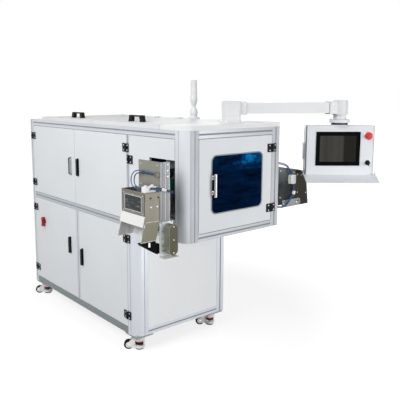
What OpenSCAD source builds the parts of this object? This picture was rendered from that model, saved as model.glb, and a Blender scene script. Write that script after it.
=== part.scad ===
// Screw counting machine: a two-lane vibratory counter with an outlet on each side, in a cabinet of
// slotted aluminium bars on levelling casters, with an operator panel on a swinging arm.
// The origin lies on the floor under the middle of the upper cabinet, with z up and y to the back.
// Inside the modules x counts from the left face and y from the front face of the upper cabinet, and
// z from a mark a little above the floor.

/* [Cabinet] */
// Width of the cabinet from its left face to its right face
cabinet_w = 814; // [780:1:860]
// Length of the upper cabinet from front to back
cabinet_l = 2108; // [2060:1:2200]
// How far the upper cabinet reaches out in front of the lower one
overhang = 522; // [500:1:550]
// Height of the underside of the upper cabinet
shelf_z = 865; // [840:1:890]
// Height of the top of the frame
frame_top = 1538; // [1520:1:1560]
// Height of the covers and lids on top of the frame
cover_h = 28; // [22:1:34]
// Thickness of the fixed panels
panel_t = 3; // [2:0.5:4]
// How far the fixed panels lie behind the faces of the bars
panel_inset = 2; // [1:0.5:4]

/* [Frame bars] */
// Width of a rail, and of the rear posts
rail = 50; // [46:1:54]
// Height of the transom rails under the upper cabinet
transom_h = 45; // [40:1:50]
// Width of the slot in a bar
slot_w = 10; // [8:0.5:12]
// Depth of the slot in a bar
slot_d = 9; // [6:0.5:10]
// Side of the round-corner posts at the front left
corner_post = 100; // [96:1:110]
// Outer radius of the round-corner posts
corner_r = 70; // [60:1:80]
// Width of each limb of the round-corner posts
corner_wall = 36; // [32:1:44]
// Side of the square posts at the front right
square_post = 70; // [64:1:76]
// Width of the posts between the lower doors
mid_post = 38; // [34:1:44]
// Front face of the posts between the lower doors
mid_post_y = 1296; // [1260:1:1330]
// Width of the post between the outlet door and the upper front door
door_post = 25; // [24:1:30]
// Front face of the post between the outlet door and the upper front door
door_post_y = 588; // [576:1:600]
// Gap left at the ends of the bars
bar_seat = 0.2; // [0.1:0.05:0.4]

/* [Doors and lids] */
// Depth of the door pans
door_t = 16; // [12:1:20]
// Sheet thickness of doors, lids and covers
sheet_t = 2; // [1.5:0.5:3]
// Gap round the doors and lids
door_gap = 3; // [2:0.5:4]
// Place of the seam between the two upper doors
upper_seam_y = 1330; // [1310:1:1350]
// Width of the window in the front door
window_w = 448; // [400:1:470]
// Height of the window in the front door
window_h = 360; // [330:1:390]
// Corner radius of the window
window_r = 38; // [20:1:50]
// Height of the window's lower edge
window_z = 1022; // [1010:1:1040]
// Left edge of the window
window_x = 202; // [180:1:220]
// Thickness of the tinted pane
pane_t = 5; // [4:0.5:8]
// Border of the pane behind the door's skin
pane_border = 18; // [10:1:22]
// Width of the lids, from the left face to their hinges
lid_w = 690; // [660:1:700]
// Length of the fixed front cover
front_cover_l = 250; // [240:1:270]
// Length of each lid with its gap
lid_pitch = 810; // [790:1:820]

/* [Hinges and handles] */
// Height of a door hinge
hinge_h = 56; // [48:1:60]
// Reach of a door's hinge leaf from the pin
door_leaf_w = 44; // [38:1:48]
// Reach of a frame's hinge leaf from the pin
hinge_leaf = 38; // [34:1:42]
// Reach of the short frame leaf on the narrow door post
hinge_leaf_short = 24; // [22:1:24]
// Thickness of a hinge leaf
hinge_t = 5; // [4:0.5:6]
// Radius of a hinge knuckle
knuckle_r = 6.5; // [6:0.1:6.6]
// Radius of a hinge pin
pin_r = 3; // [2:0.5:4]
// Distance of the pin's axis outside the face of the door
pin_out = 7; // [6.9:0.1:8]
// Radial clearance of pins and shafts in their bores
pin_clear = 0.05; // [0.02:0.01:0.1]
// Distance of the hinges from the ends of the doors
hinge_inset = 85; // [60:1:100]
// Length of the bridge handles on the lids
handle_l = 172; // [150:1:190]
// Height of the bridge handles
handle_h = 44; // [36:1:50]
// Width of the bridge handles
handle_w = 26; // [20:1:30]
// Length of the pull handles on the doors
pull_l = 138; // [120:1:150]
// Width of the pull handles
pull_w = 27; // [24:1:32]
// Height of the pull handles
pull_h = 18; // [15:1:24]
// Height of the middle of the upper pull handles
upper_pull_z = 1200; // [1150:1:1250]
// Height of the middle of the pull handle on the lower front door
front_pull_z = 503; // [450:1:560]
// Height of the middle of the pull handle on the lower rear door
rear_pull_z = 560; // [500:1:600]
// Distance of the lid handles from the left face
lid_handle_x = 115; // [90:1:140]
// Length of the bar handle on the window door
bar_handle_l = 134; // [110:1:160]
// Radius of the bar handle
bar_handle_r = 9; // [7:0.5:11]

/* [Casters] */
// Level of the floor, below the mark that the other levels count from
floor_z = -27; // [-34:1:-26]
// Level of the underside of the frame
frame_bottom = 93; // [93:1:100]
// Distance of the swivel axes from the faces of the lower cabinet
caster_inset = 74; // [70:1:80]
// Radius of the wheels
wheel_r = 33; // [30:0.5:34]
// Width of the wheels
wheel_w = 30; // [26:1:32]
// Distance of the wheel's axle from the swivel axis
caster_trail = 76; // [75:1:82]
// Radius of the swivelling body
swivel_r = 39; // [37:0.5:40]
// Height of the levelling foot above the floor
foot_lift = 3; // [3:0.5:5]
// Turn of the casters at rest, from trailing straight to the left
caster_turn = -39; // [-80:1:80]

/* [Outlets] */
// Distance of the outer face of the left hopper from the cabinet
hopper_out = 290; // [280:1:300]
// Distance of the inner wall of the hoppers from the cabinet
hopper_in = 187; // [180:1:195]
// Front face of the hoppers
hopper_y0 = 3; // [0:1:6]
// Rear face of the hoppers
hopper_y1 = 235; // [230:1:245]
// Height of the top of the left hopper
hopper_top = 1207; // [1200:1:1215]
// Height where the spout begins
spout_top = 1041; // [1036:1:1046]
// Height of the mouth of the spout
spout_z = 930; // [925:1:940]
// Reach of the left spout's outer edge
spout_out = 322; // [315:1:330]
// Width of the spout's mouth
spout_w = 104; // [96:1:110]
// Sheet thickness of the outlets
outlet_t = 2.5; // [2:0.25:3]
// Slope of the drop chutes
chute_slope = 24; // [20:0.5:25]
// Clear width of the drop chutes
chute_w = 70; // [60:1:72]
// Height of the chute walls
chute_wall = 55; // [45:1:60]

/* [Operator panel] */
// Place of the arm's axis from the left face
arm_x = 505; // [480:1:530]
// Place of the arm's axis from the front face
arm_y = 147; // [130:1:160]
// Length of the arm from axis to axis
arm_len = 785; // [775:1:820]
// Direction of the arm from the x axis
arm_angle = -25; // [-32:1:-25]
// Height of the arm's tube
tube_h = 70; // [60:1:76]
// Width of the arm's tube
tube_w = 58; // [50:1:64]
// Direction of the panel from the x axis
panel_angle = -40; // [-42:1:-36]
// Width of the panel's box
panel_w = 465; // [450:1:480]
// Height of the panel's box
panel_h = 337; // [330:1:345]
// Depth of the panel's box
panel_d = 80; // [70:1:90]
// Width of the screen
screen_w = 300; // [280:1:310]
// Height of the screen
screen_h = 232; // [215:1:240]

/* [Hidden] */
$fn = 64;

// Levels and edges that several pieces share
transom_top = shelf_z + transom_h;
top_rail_z = frame_top - rail;
cover_top = frame_top + cover_h;
rear_post_y = cabinet_l - rail;
right_inner = cabinet_w - square_post;
floor_rail_top = frame_bottom + rail;
deck_top = shelf_z + panel_inset + panel_t;
upper_z0 = transom_top + door_gap;
upper_z1 = top_rail_z - door_gap;
lower_z0 = floor_rail_top + door_gap;
lower_z1 = shelf_z - door_gap;
lower_front = overhang + corner_post + door_gap;
cut = 1;

// Doors on the left face: front edge, rear edge, lower edge, upper edge
outlet_door_span = [corner_post + door_gap, door_post_y - door_gap, upper_z0, upper_z1];
upper_front_span = [door_post_y + door_post + door_gap, upper_seam_y - door_gap / 2, upper_z0, upper_z1];
upper_rear_span = [upper_seam_y + door_gap / 2, rear_post_y - door_gap, upper_z0, upper_z1];
lower_front_span = [lower_front, mid_post_y - door_gap, lower_z0, lower_z1];
lower_rear_span = [mid_post_y + mid_post + door_gap, rear_post_y - door_gap, lower_z0, lower_z1];
front_door_x0 = corner_post + door_gap;
front_door_x1 = right_inner - door_gap;
outlet_hinge_z = [1070, 1324];

// Opening for the outlet in the side of the upper cabinet
opening_y0 = corner_post + 5;
opening_y1 = 358;
opening_z0 = 997;
opening_z1 = 1358;

// Lids: small steel hinges, seams and handle places
lid_hinge_h = 60;
lid_hinge_leaf = 30;
lid_hinge_t = 3;
lid_knuckle_r = 4.5;
lid_pin_r = 2;
lid_pin_out = 5;
lid_hinge_spread = 260;
lid_lift = 0.3;
lid_pin_x = lid_w + door_gap / 2;
function lid_y0(i) = front_cover_l + i * lid_pitch + door_gap / 2;
function lid_y1(i) = front_cover_l + (i + 1) * lid_pitch - door_gap / 2;
function lid_mid(i) = (lid_y0(i) + lid_y1(i)) / 2;
strip_y1 = front_cover_l + 2 * lid_pitch;

// Casters
caster_plate_t = 12;
caster_plate_w = 2 * caster_inset - 8;
caster_bolt = 108;
stud_r = 9;
stud_l = 16;
screw_r = 7;
dial_r = swivel_r - 8;
foot_r = 29;
axle_r = 6;
swivel_gap = 0.4;
plate_z = frame_bottom - caster_plate_t;
swivel_top = plate_z - floor_z;
caster_x = [caster_inset, cabinet_w - caster_inset];
caster_y = [overhang + caster_inset, cabinet_l - caster_inset];

// Operator panel: the arm's joints and the box under its end
arm_gap = 0.5;
arm_head_r = 53;
arm_head_w = 108;
arm_head_corner = 24;
arm_head_z = cover_top + 46;
arm_head_top = arm_head_z + 93;
tube_z = arm_head_z + 12;
spigot_r = 25;
arm_end_x = arm_x + arm_len * cos(arm_angle);
arm_end_y = arm_y + arm_len * sin(arm_angle);
neck_z = arm_head_z - 32;
panel_top = neck_z - 41;
panel_z = panel_top - panel_h;
panel_wall = 2;
screen_x0 = -164;
screen_z0 = panel_z + 63;
stop_x = 191;
stop_z = panel_z + 267;
key_x = 191;
key_z = panel_z + 84;
button_r = 8;
rotor_r = 9;

// Outlets
chute_end = hopper_in - 15;
chute_y0 = hopper_y1 - outlet_t - 6 - chute_w - 2 * outlet_t;
chute_z = 1075;
chute_len = 442;
gate_x = hopper_in - 8;
gate_z = 1135;
gate_r = 5;
gate_h = 71;
mouth_z0 = 1058;
mouth_z1 = 1142;
ledge_z = 1029;
drive_plate_t = 4;
drive_plate_y = hopper_y0 - drive_plate_t;
pulley_x = -132;
guard_r = 30;
guard_d = 52;
motor_z = 990;
bucket_z = 870;
bucket_shaft_r = 7.5;
bucket_y0 = 10;

// Routes of the two pairs of air tubes, each from a bulkhead in the cabinet to a fitting outside
tube_d = 6;
tube_sides = 10;
tube_gap = 4;
left_axis = [1, 1, 0];
left_route = [
    [30, 115, 1165], [0, 112, 1163], [-40, 80, 1172], [-78, 32, 1186], [-104, -6, 1195], [-130, -14, 1204],
    [-155, -14, 1212], [-185, -13, 1220], [-215, -9, 1226], [-246, 5, 1229], [-260, 37, 1226],
    [-257, 75, 1220], [-248, 120, 1217], [-238, 160, 1217], [-230, 190, 1220], [-223, 217, 1233],
    [-217, 228, 1261], [-211, 216, 1290], [-205, 187, 1303],
    [-201, 140, 1304], [-200, 95, 1304], [-200, 50, 1303], [-200, 22, 1302]
];
right_axis = [0, 1, 0];
right_route = [
    [-30, 88, 1290], [0, 82, 1290], [30, 55, 1286], [54, 24, 1281], [72, -6, 1270], [88, -14, 1248],
    [105, -15, 1218], [122, -14, 1190], [138, -14, 1158], [151, -14, 1122], [154, -14, 1088],
    [143, -14, 1060], [117, -14, 1036], [88, -15, 1014], [66, -17, 1001], [50, -17, 993], [27, -7, 987],
    [16, 19, 986], [14, 50, 990], [6, 78, 1004], [-8, 92, 1010], [-30, 96, 1011]
];

// Shared shapes

// Moves a piece from the cabinet's own corner to the shared origin
module place() {
    translate([-cabinet_w / 2, -cabinet_l / 2, -floor_z])
        children();
}

// Repeats a left-hand piece as its mirror image on the right face
module on_right() {
    translate([cabinet_w, 0, 0])
        mirror([1, 0, 0])
            children();
}

module both_sides() {
    children();
    on_right()
        children();
}

// Section of a slotted bar
module slot_profile(w, h) {
    difference() {
        square([w, h]);
        for (y = [-cut, h - slot_d])
            translate([(w - slot_w) / 2, y])
                square([slot_w, slot_d + cut]);
        for (x = [-cut, w - slot_d])
            translate([x, (h - slot_w) / 2])
                square([slot_d + cut, slot_w]);
    }
}

// Section of the round-corner post, with its round corner at the origin
module corner_profile() {
    groove_w = 4;
    groove_d = 4;
    difference() {
        union() {
            intersection() {
                translate([corner_r, corner_r])
                    circle(r = corner_r);
                square(corner_r);
            }
            translate([corner_r, 0])
                square([corner_post - corner_r, corner_post]);
            translate([0, corner_r])
                square([corner_post, corner_post - corner_r]);
        }
        translate([corner_wall, corner_wall])
            square(corner_post);
        translate([corner_r - groove_w / 2, -cut])
            square([groove_w, groove_d + cut]);
        translate([-cut, corner_r - groove_w / 2])
            square([groove_d + cut, groove_w]);
        translate([corner_post - slot_d, (corner_wall - slot_w) / 2])
            square([slot_d + cut, slot_w]);
        translate([(corner_wall - slot_w) / 2, corner_post - slot_d])
            square([slot_w, slot_d + cut]);
    }
}

// Slotted bars along each axis, each a little short of what it butts against
module bar_x(x0, x1, y, z, d, h) {
    translate([x0 + bar_seat, y, z])
        rotate([90, 0, 90])
            linear_extrude(x1 - x0 - 2 * bar_seat)
                slot_profile(d, h);
}

module bar_y(x, y0, y1, z, w, h) {
    translate([x, y1 - bar_seat, z])
        rotate([90, 0, 0])
            linear_extrude(y1 - y0 - 2 * bar_seat)
                slot_profile(w, h);
}

module bar_z(x, y, z0, z1, w, d) {
    translate([x, y, z0 + bar_seat])
        linear_extrude(z1 - z0 - 2 * bar_seat)
            slot_profile(w, d);
}

module corner_bar(x, y, z0, z1) {
    translate([x, y, z0 + bar_seat])
        linear_extrude(z1 - z0 - 2 * bar_seat)
            corner_profile();
}

// Box between two corners
module block(from, to) {
    translate(from)
        cube(to - from);
}

// Extrudes an outline drawn in x and z from y0 to y1
module along_y(y0, y1) {
    translate([0, y1, 0])
        rotate([90, 0, 0])
            linear_extrude(y1 - y0)
                children();
}

// Round bar along y
module rod_y(x, z, y0, y1, r) {
    translate([x, y0, z])
        rotate([-90, 0, 0])
            cylinder(r = r, h = y1 - y0);
}

// Section of a folded sheet of thickness t through a list of points, mitred at the bends
function left_of(a, b) = [a.y - b.y, b.x - a.x] / norm(b - a);
function mitre(p, i) =
    let (
        last = len(p) - 1,
        n1 = left_of(p[max(i - 1, 0)], p[max(i, 1)]),
        n2 = left_of(p[min(i, last - 1)], p[min(i + 1, last)])
    ) (n1 + n2) / (1 + n1 * n2);

module folded_sheet(points, t) {
    last = len(points) - 1;
    polygon([
        for (i = [0 : last]) points[i] + mitre(points, i) * t / 2,
        for (i = [last : -1 : 0]) points[i] - mitre(points, i) * t / 2
    ]);
}

module rounded_rect(w, h, r) {
    for (x = [r, w - r], y = [r, h - r])
        translate([x, y])
            circle(r = r);
    translate([r, 0])
        square([w - 2 * r, h]);
    translate([0, r])
        square([w, h - 2 * r]);
}

// Hinges. In their own frame the pin stands along z, u points to the door and v points outward.

// Knuckle with the web that joins it to its leaf
module knuckle(z0, z1, r, out, side) {
    translate([0, out, z0])
        cylinder(r = r, h = z1 - z0);
    translate([side < 0 ? -r - cut : 0, out - r + 0.6, z0])
        cube([r + cut, r - 0.6, z1 - z0]);
}

// Frame leaf: outer knuckles with the pin through them
module frame_leaf(h, leaf, t, r, pin, out) {
    third = h / 3;
    translate([-leaf, 0, 0])
        cube([leaf - r - cut, t, h]);
    knuckle(0, third, r, out, -1);
    knuckle(2 * third, h, r, out, -1);
    translate([0, out, 0])
        cylinder(r = pin, h = h);
}

// Door leaf: middle knuckle bored for the pin
module door_leaf(h, leaf, t, r, pin, out) {
    third = h / 3;
    gap = 0.3;
    difference() {
        union() {
            translate([r + cut, 0, 0])
                cube([leaf - r - cut, t, h]);
            knuckle(third + gap, 2 * third - gap, r, out, 1);
        }
        translate([0, out, -cut])
            cylinder(r = pin + pin_clear, h = h + 2 * cut);
    }
}

// Puts a hinge on the left face, with its door towards +y or -y
module on_left_face(y, z, side) {
    translate([0, y, z])
        mirror([0, side < 0 ? 1 : 0, 0])
            rotate(90)
                children();
}

// Puts a hinge on the front face, with its door towards -x
module on_front_face(x, z) {
    translate([x, 0, z])
        rotate(180)
            children();
}

// Puts a hinge on top of the covers, with its lid towards -x
module on_top_face(y) {
    translate([lid_pin_x, y, cover_top])
        rotate([90, 0, 180])
            children();
}

function hinge_levels(span) = [span[2] + hinge_inset - hinge_h / 2, span[3] - hinge_inset - hinge_h / 2];
function outlet_levels() = [for (z = outlet_hinge_z) z - hinge_h / 2];

module left_frame_leaf(y, z, side, leaf = hinge_leaf) {
    on_left_face(y, z, side)
        frame_leaf(hinge_h, leaf, hinge_t, knuckle_r, pin_r, pin_out);
}

module left_door_leaves(y, levels, side) {
    for (z = levels)
        on_left_face(y, z, side)
            door_leaf(hinge_h, door_leaf_w, hinge_t, knuckle_r, pin_r, pin_out);
}

// Pin places of the doors
outlet_pin_y = outlet_door_span[1] + door_gap / 2;
upper_front_pin_y = upper_front_span[0] - door_gap / 2;
upper_rear_pin_y = upper_rear_span[1] + door_gap / 2;
lower_front_pin_y = lower_front_span[0] - door_gap / 2;
lower_rear_pin_y = lower_rear_span[1] + door_gap / 2;
window_pin_x = front_door_x1 + door_gap / 2;
window_span = [front_door_x0, front_door_x1, upper_z0, upper_z1];

// Folded door pan on the left face, open to the inside
module left_pan(span) {
    rim = sheet_t;
    difference() {
        block([0, span[0], span[2]], [door_t, span[1], span[3]]);
        block([sheet_t, span[0] + rim, span[2] + rim], [door_t + cut, span[1] - rim, span[3] - rim]);
    }
}

// Bridge handle: feet on the plane z = 0, length along x, centred
module bridge_handle() {
    lean = 12;
    foot = 36;
    grip = 10;
    translate([-handle_l / 2, handle_w / 2, 0])
        rotate([90, 0, 0])
            linear_extrude(handle_w)
                polygon([
                    [0, 0], [lean, handle_h], [handle_l - lean, handle_h], [handle_l, 0],
                    [handle_l - foot, 0], [handle_l - foot - lean / 2, handle_h - grip],
                    [foot + lean / 2, handle_h - grip], [foot, 0]
                ]);
}

// Pull handle upright on the left face: a flange with a grip that is undercut for the fingers on one side
module pull_handle(y, z, side) {
    flange_h = 5;
    step = 4;
    grip_w = pull_w - 2 * step;
    scoop_l = pull_l - 40;
    scoop_d = 7;
    lip = 5;
    translate([0, y, z])
        rotate([0, -90, 0]) {
            translate([-pull_l / 2, -pull_w / 2, 0])
                linear_extrude(flange_h)
                    rounded_rect(pull_l, pull_w, pull_w / 2 - 1);
            difference() {
                translate([-pull_l / 2 + step, -grip_w / 2, flange_h - cut])
                    linear_extrude(pull_h - flange_h + cut)
                        rounded_rect(pull_l - 2 * step, grip_w, grip_w / 2 - 1);
                translate([-scoop_l / 2, side > 0 ? grip_w / 2 - scoop_d : -grip_w / 2 - cut, flange_h])
                    cube([scoop_l, scoop_d + cut, pull_h - flange_h - lip]);
            }
        }
}

// Places of the pull handles along the left face
rear_pull_y = upper_seam_y + 65;
front_pull_y = upper_seam_y - 50;
lower_rear_pull_y = mid_post_y + 140;
lower_front_pull_y = mid_post_y - 50;

// Tube swept along a route, for the air tubes
function unit(v) = v / norm(v);
function tangent(p, i) = unit(p[min(i + 1, len(p) - 1)] - p[max(i - 1, 0)]);
function carried(t, e, i = 0) =
    i == len(t) ? [] : let (n = unit(e - t[i] * (t[i] * e))) concat([n], carried(t, n, i + 1));
function between(a, b, c, d, s) =
    0.5 * (2 * b + (c - a) * s + (2 * a - 5 * b + 4 * c - d) * s * s + (3 * b - a - 3 * c + d) * s * s * s);
function smoothed(p) = [
    for (i = [0 : len(p) - 2], s = [0, 0.5])
        between(p[max(i - 1, 0)], p[i], p[i + 1], p[min(i + 2, len(p) - 1)], s),
    p[len(p) - 1]
];

module swept_tube(route, d, sides) {
    path = smoothed(route);
    count = len(path);
    t = [for (i = [0 : count - 1]) tangent(path, i)];
    e = carried(t, [0, 0, 1]);
    points = [
        for (i = [0 : count - 1], k = [0 : sides - 1])
            let (a = 360 * k / sides)
                path[i] + d / 2 * (cos(a) * e[i] + sin(a) * cross(t[i], e[i]))
    ];
    sides_faces = [
        for (i = [0 : count - 2], k = [0 : sides - 1])
            let (a = i * sides + k, b = i * sides + (k + 1) % sides)
                each [[a, a + sides, b], [b, a + sides, b + sides]]
    ];
    caps = [[for (k = [0 : sides - 1]) k], [for (k = [sides - 1 : -1 : 0]) (count - 1) * sides + k]];
    polyhedron(points, concat(sides_faces, caps));
}

// Route beside another one, square to an axis, which stands off further where the loop is wide
function beside(route, axis, side) = [
    for (i = [0 : len(route) - 1])
        let (
            run = route[min(i + 1, len(route) - 1)] - route[max(i - 1, 0)],
            off = cross(run, axis)
        )
            route[i] + side * (tube_gap + max(0, route[i].y - 120) * 0.05) * off / norm(off)
];

module tube_pair(route, axis) {
    for (side = [-1, 1])
        swept_tube(beside(route, axis, side), tube_d, tube_sides);
}

// Sub-parts that stand still

module frame() color("gainsboro") place() {
    // Lower cabinet: posts, then rails
    corner_bar(0, overhang, frame_bottom, shelf_z);
    bar_z(right_inner, overhang, frame_bottom, shelf_z, square_post, square_post);
    for (x = [0, cabinet_w - rail]) {
        bar_z(x, rear_post_y, frame_bottom, shelf_z, rail, rail);
        bar_z(x, mid_post_y, floor_rail_top, shelf_z, rail, mid_post);
    }
    bar_y(0, overhang + corner_post, rear_post_y, frame_bottom, rail, rail);
    bar_y(cabinet_w - rail, overhang + square_post, rear_post_y, frame_bottom, rail, rail);
    bar_x(corner_post, right_inner, overhang, frame_bottom, rail, rail);
    bar_x(rail, cabinet_w - rail, rear_post_y, frame_bottom, rail, rail);
    // Upper cabinet: posts
    corner_bar(0, 0, shelf_z, frame_top);
    bar_z(right_inner, 0, shelf_z, frame_top, square_post, square_post);
    for (x = [0, cabinet_w - rail])
        bar_z(x, rear_post_y, shelf_z, frame_top, rail, rail);
    bar_z(0, door_post_y, transom_top, top_rail_z, rail, door_post);
    stop_d = rail - door_t - 4;
    bar_z(rail - stop_d, upper_seam_y - rail / 2, transom_top, top_rail_z, stop_d, rail);
    bar_z(cabinet_w - rail, upper_seam_y - rail / 2, transom_top, top_rail_z, rail, rail);
    // Upper cabinet: transom rails and top rails
    for (level = [[shelf_z, transom_h], [top_rail_z, rail]]) {
        bar_y(0, corner_post, rear_post_y, level[0], rail, level[1]);
        bar_y(cabinet_w - rail, square_post, rear_post_y, level[0], rail, level[1]);
        bar_x(corner_post, right_inner, 0, level[0], rail, level[1]);
        bar_x(rail, cabinet_w - rail, rear_post_y, level[0], rail, level[1]);
    }
    bar_x(rail, cabinet_w - rail, overhang, shelf_z, rail, transom_h);
}

// Upright sheet facing along x
module side_panel(y0, y1, z0, z1) {
    block([cabinet_w - panel_inset - panel_t, y0, z0], [cabinet_w - panel_inset, y1, z1]);
}

// Upright sheet facing along y
module cross_panel(y, x0, x1, z0, z1) {
    block([x0, y, z0], [x1, y + panel_t, z1]);
}

// Level sheet between the rails
module level_panel(z, y0) {
    block([rail, y0 + rail, z], [cabinet_w - rail, rear_post_y, z + panel_t]);
}

module fixed_panels() color("whitesmoke") place() {
    seam = upper_seam_y - rail / 2;
    back = cabinet_l - panel_inset - panel_t;
    cross_panel(overhang + panel_inset, corner_post, right_inner, floor_rail_top, shelf_z);
    cross_panel(back, rail, cabinet_w - rail, floor_rail_top, shelf_z);
    cross_panel(back, rail, cabinet_w - rail, transom_top, top_rail_z);
    side_panel(overhang + square_post, mid_post_y, floor_rail_top, shelf_z);
    side_panel(mid_post_y + mid_post, rear_post_y, floor_rail_top, shelf_z);
    side_panel(seam + rail, rear_post_y, transom_top, top_rail_z);
    difference() {
        side_panel(square_post, seam, transom_top, top_rail_z);
        block([cabinet_w - rail, square_post - cut, opening_z0], [cabinet_w + cut, opening_y1, opening_z1]);
    }
    difference() {
        level_panel(frame_bottom + panel_inset, overhang);
        block([right_inner, overhang, frame_bottom], [cabinet_w, overhang + square_post, floor_rail_top]);
    }
    difference() {
        level_panel(shelf_z + panel_inset, 0);
        block([0, overhang - cut, shelf_z], [cabinet_w, overhang + rail + cut, transom_top]);
        block([0, 0, shelf_z], [corner_post, corner_post, transom_top]);
        block([right_inner, 0, shelf_z], [cabinet_w, square_post, transom_top]);
    }
}

// Outline of the fixed front cover, with its round front left corner
module front_cover_outline(inset) {
    r = corner_r - inset;
    w = cabinet_w - 2 * inset;
    l = front_cover_l - door_gap / 2 - 2 * inset;
    translate([inset, inset]) {
        translate([r, r])
            circle(r = r);
        translate([r, 0])
            square([w - r, l]);
        translate([0, r])
            square([w, l - r]);
    }
}

module top_covers() color("white") place() {
    strip_x0 = lid_w + door_gap;
    translate([0, 0, frame_top])
        difference() {
            linear_extrude(cover_h)
                front_cover_outline(0);
            translate([0, 0, -cut])
                linear_extrude(cover_h - sheet_t + cut)
                    front_cover_outline(sheet_t);
        }
    difference() {
        block([strip_x0, lid_y0(0), frame_top], [cabinet_w, strip_y1, cover_top]);
        block(
            [strip_x0 + sheet_t, lid_y0(0) + sheet_t, frame_top - cut],
            [cabinet_w - sheet_t, strip_y1 - sheet_t, cover_top - sheet_t]
        );
    }
    block([0, strip_y1 + door_gap, frame_top], [cabinet_w, cabinet_l, frame_top + panel_t]);
    for (i = [0, 1], end = [-1, 1])
        on_top_face(lid_mid(i) + end * lid_hinge_spread - lid_hinge_h / 2)
            frame_leaf(lid_hinge_h, lid_hinge_leaf, lid_hinge_t, lid_knuckle_r, lid_pin_r, lid_pin_out);
}

module hinge_frame_leaves() color("#1c1c1e") place() {
    for (z = outlet_levels())
        left_frame_leaf(outlet_pin_y, z, -1, hinge_leaf_short);
    for (z = hinge_levels(upper_front_span))
        left_frame_leaf(upper_front_pin_y, z, 1, hinge_leaf_short);
    for (z = hinge_levels(upper_rear_span))
        left_frame_leaf(upper_rear_pin_y, z, -1);
    for (z = hinge_levels(lower_front_span))
        left_frame_leaf(lower_front_pin_y, z, 1);
    for (z = hinge_levels(lower_rear_span))
        left_frame_leaf(lower_rear_pin_y, z, -1);
    for (z = hinge_levels(window_span))
        on_front_face(window_pin_x, z)
            frame_leaf(hinge_h, hinge_leaf, hinge_t, knuckle_r, pin_r, pin_out);
}

module caster_plates() color("dimgray") place() {
    bolt_r = 4.5;
    for (x = caster_x, y = caster_y)
        translate([x, y, plate_z]) {
            difference() {
                translate([-caster_plate_w / 2, -caster_plate_w / 2, 0])
                    cube([caster_plate_w, caster_plate_w, caster_plate_t]);
                for (dx = [-1, 1], dy = [-1, 1])
                    translate([dx * caster_bolt / 2, dy * caster_bolt / 2, -cut])
                        cylinder(r = bolt_r, h = caster_plate_t + 2 * cut);
            }
            translate([0, 0, -stud_l])
                cylinder(r = stud_r, h = stud_l + cut);
        }
}

module tower_light() color("ghostwhite") place() {
    tower_x = 763;
    tower_y = 820;
    translate([tower_x, tower_y, cover_top])
        rotate_extrude()
            polygon([
                [0, 0], [48, 0], [48, 8], [30, 12], [26, 20], [30, 34], [31, 48], [26, 66], [17, 82],
                [16, 98], [21, 112], [27, 130], [28, 150], [26, 168], [24, 182], [24, 288], [20, 292],
                [0, 292]
            ]);
}

// Outline of the square head at the arm's axis
module arm_head_outline() {
    translate([-arm_head_w / 2, -arm_head_w / 2])
        rounded_rect(arm_head_w, arm_head_w, arm_head_corner);
}

module arm_base() color("white") place() {
    foot_w = 136;
    foot_t = 8;
    foot_corner = 20;
    translate([arm_x, arm_y, cover_top]) {
        rotate(arm_angle)
            translate([-foot_w / 2, -foot_w / 2, 0])
                linear_extrude(foot_t)
                    rounded_rect(foot_w, foot_w, foot_corner);
        rotate(arm_angle)
            linear_extrude(arm_head_z - arm_gap - cover_top)
                arm_head_outline();
        cylinder(r = spigot_r, h = tube_z + tube_h / 2 - cover_top);
    }
}

// Storage hopper: two sloping sheets over the feeder tray, with end walls and a middle wall
hopper_t = 3;
tray_z = 1385;
tray_wall = 40;
storage_low = tray_z + tray_wall + 7;
storage_top = top_rail_z + 34;
lane_x = [60, cabinet_w - 260];
lane_w = 200;
tray_y0 = 222;
tray_y1 = 1760;
feed_y0 = 1560;
feed_y1 = 1660;

module storage_hopper() color("silver") place() {
    front_y = 1080;
    rear_y = 1840;
    inside = [rail, cabinet_w - rail - hopper_t];
    rotate([90, 0, 90])
        translate([0, 0, rail])
            linear_extrude(cabinet_w - 2 * rail) {
                folded_sheet([[front_y, storage_top], [feed_y0, storage_low]], hopper_t);
                folded_sheet([
                    [rear_y, storage_top], [rear_y, storage_low + 40], [feed_y1, storage_low]
                ], hopper_t);
            }
    for (x = concat(inside, [(cabinet_w - hopper_t) / 2]))
        translate([x, 0, 0])
            rotate([90, 0, 90])
                linear_extrude(hopper_t)
                    polygon([
                        [front_y, storage_top], [feed_y0, storage_low], [feed_y1, storage_low],
                        [rear_y, storage_low + 40], [rear_y, storage_top]
                    ]);
}

// Feeder: a portal with a drive block and leaf springs under each cross beam of the tray
beam_h = 40;
beam_w = 60;
beam_y = [640, 1440];
drive_top = 1300;
spring_gap = 0.3;

module feeder_drives() color("steelblue") place() {
    mid = cabinet_w / 2;
    portal_w = 234;
    leg_w = 30;
    portal_top = 1230;
    spring_t = 4;
    spring_w = 50;
    portal_d = 120;
    for (y = beam_y) {
        along_y(y + beam_w / 2 - portal_d / 2, y + beam_w / 2 + portal_d / 2)
            difference() {
                translate([mid - portal_w / 2, deck_top])
                    square([portal_w, portal_top - deck_top]);
                translate([mid - portal_w / 2 + leg_w, deck_top - cut])
                    square([portal_w - 2 * leg_w, portal_top - leg_w - deck_top + cut]);
            }
        block([mid - 77, y - 20, portal_top], [mid + 77, y + beam_w + 20, drive_top]);
        for (end = [0, beam_w - spring_t], x = [mid - 70, mid + 70 - spring_w])
            block([x, y + end, drive_top], [x + spring_w, y + end + spring_t, tray_z - beam_h - spring_gap]);
    }
}

module feeder_tray() color("lightsteelblue") place() {
    floor_t = 3;
    for (x = lane_x)
        difference() {
            block([x, tray_y0, tray_z], [x + lane_w, tray_y1, tray_z + tray_wall]);
            block(
                [x + floor_t, tray_y0 - cut, tray_z + floor_t],
                [x + lane_w - floor_t, tray_y1 - floor_t, tray_z + tray_wall + cut]
            );
        }
    for (y = beam_y)
        block([lane_x[0], y, tray_z - beam_h], [lane_x[1] + lane_w, y + beam_w, tray_z]);
}

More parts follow.
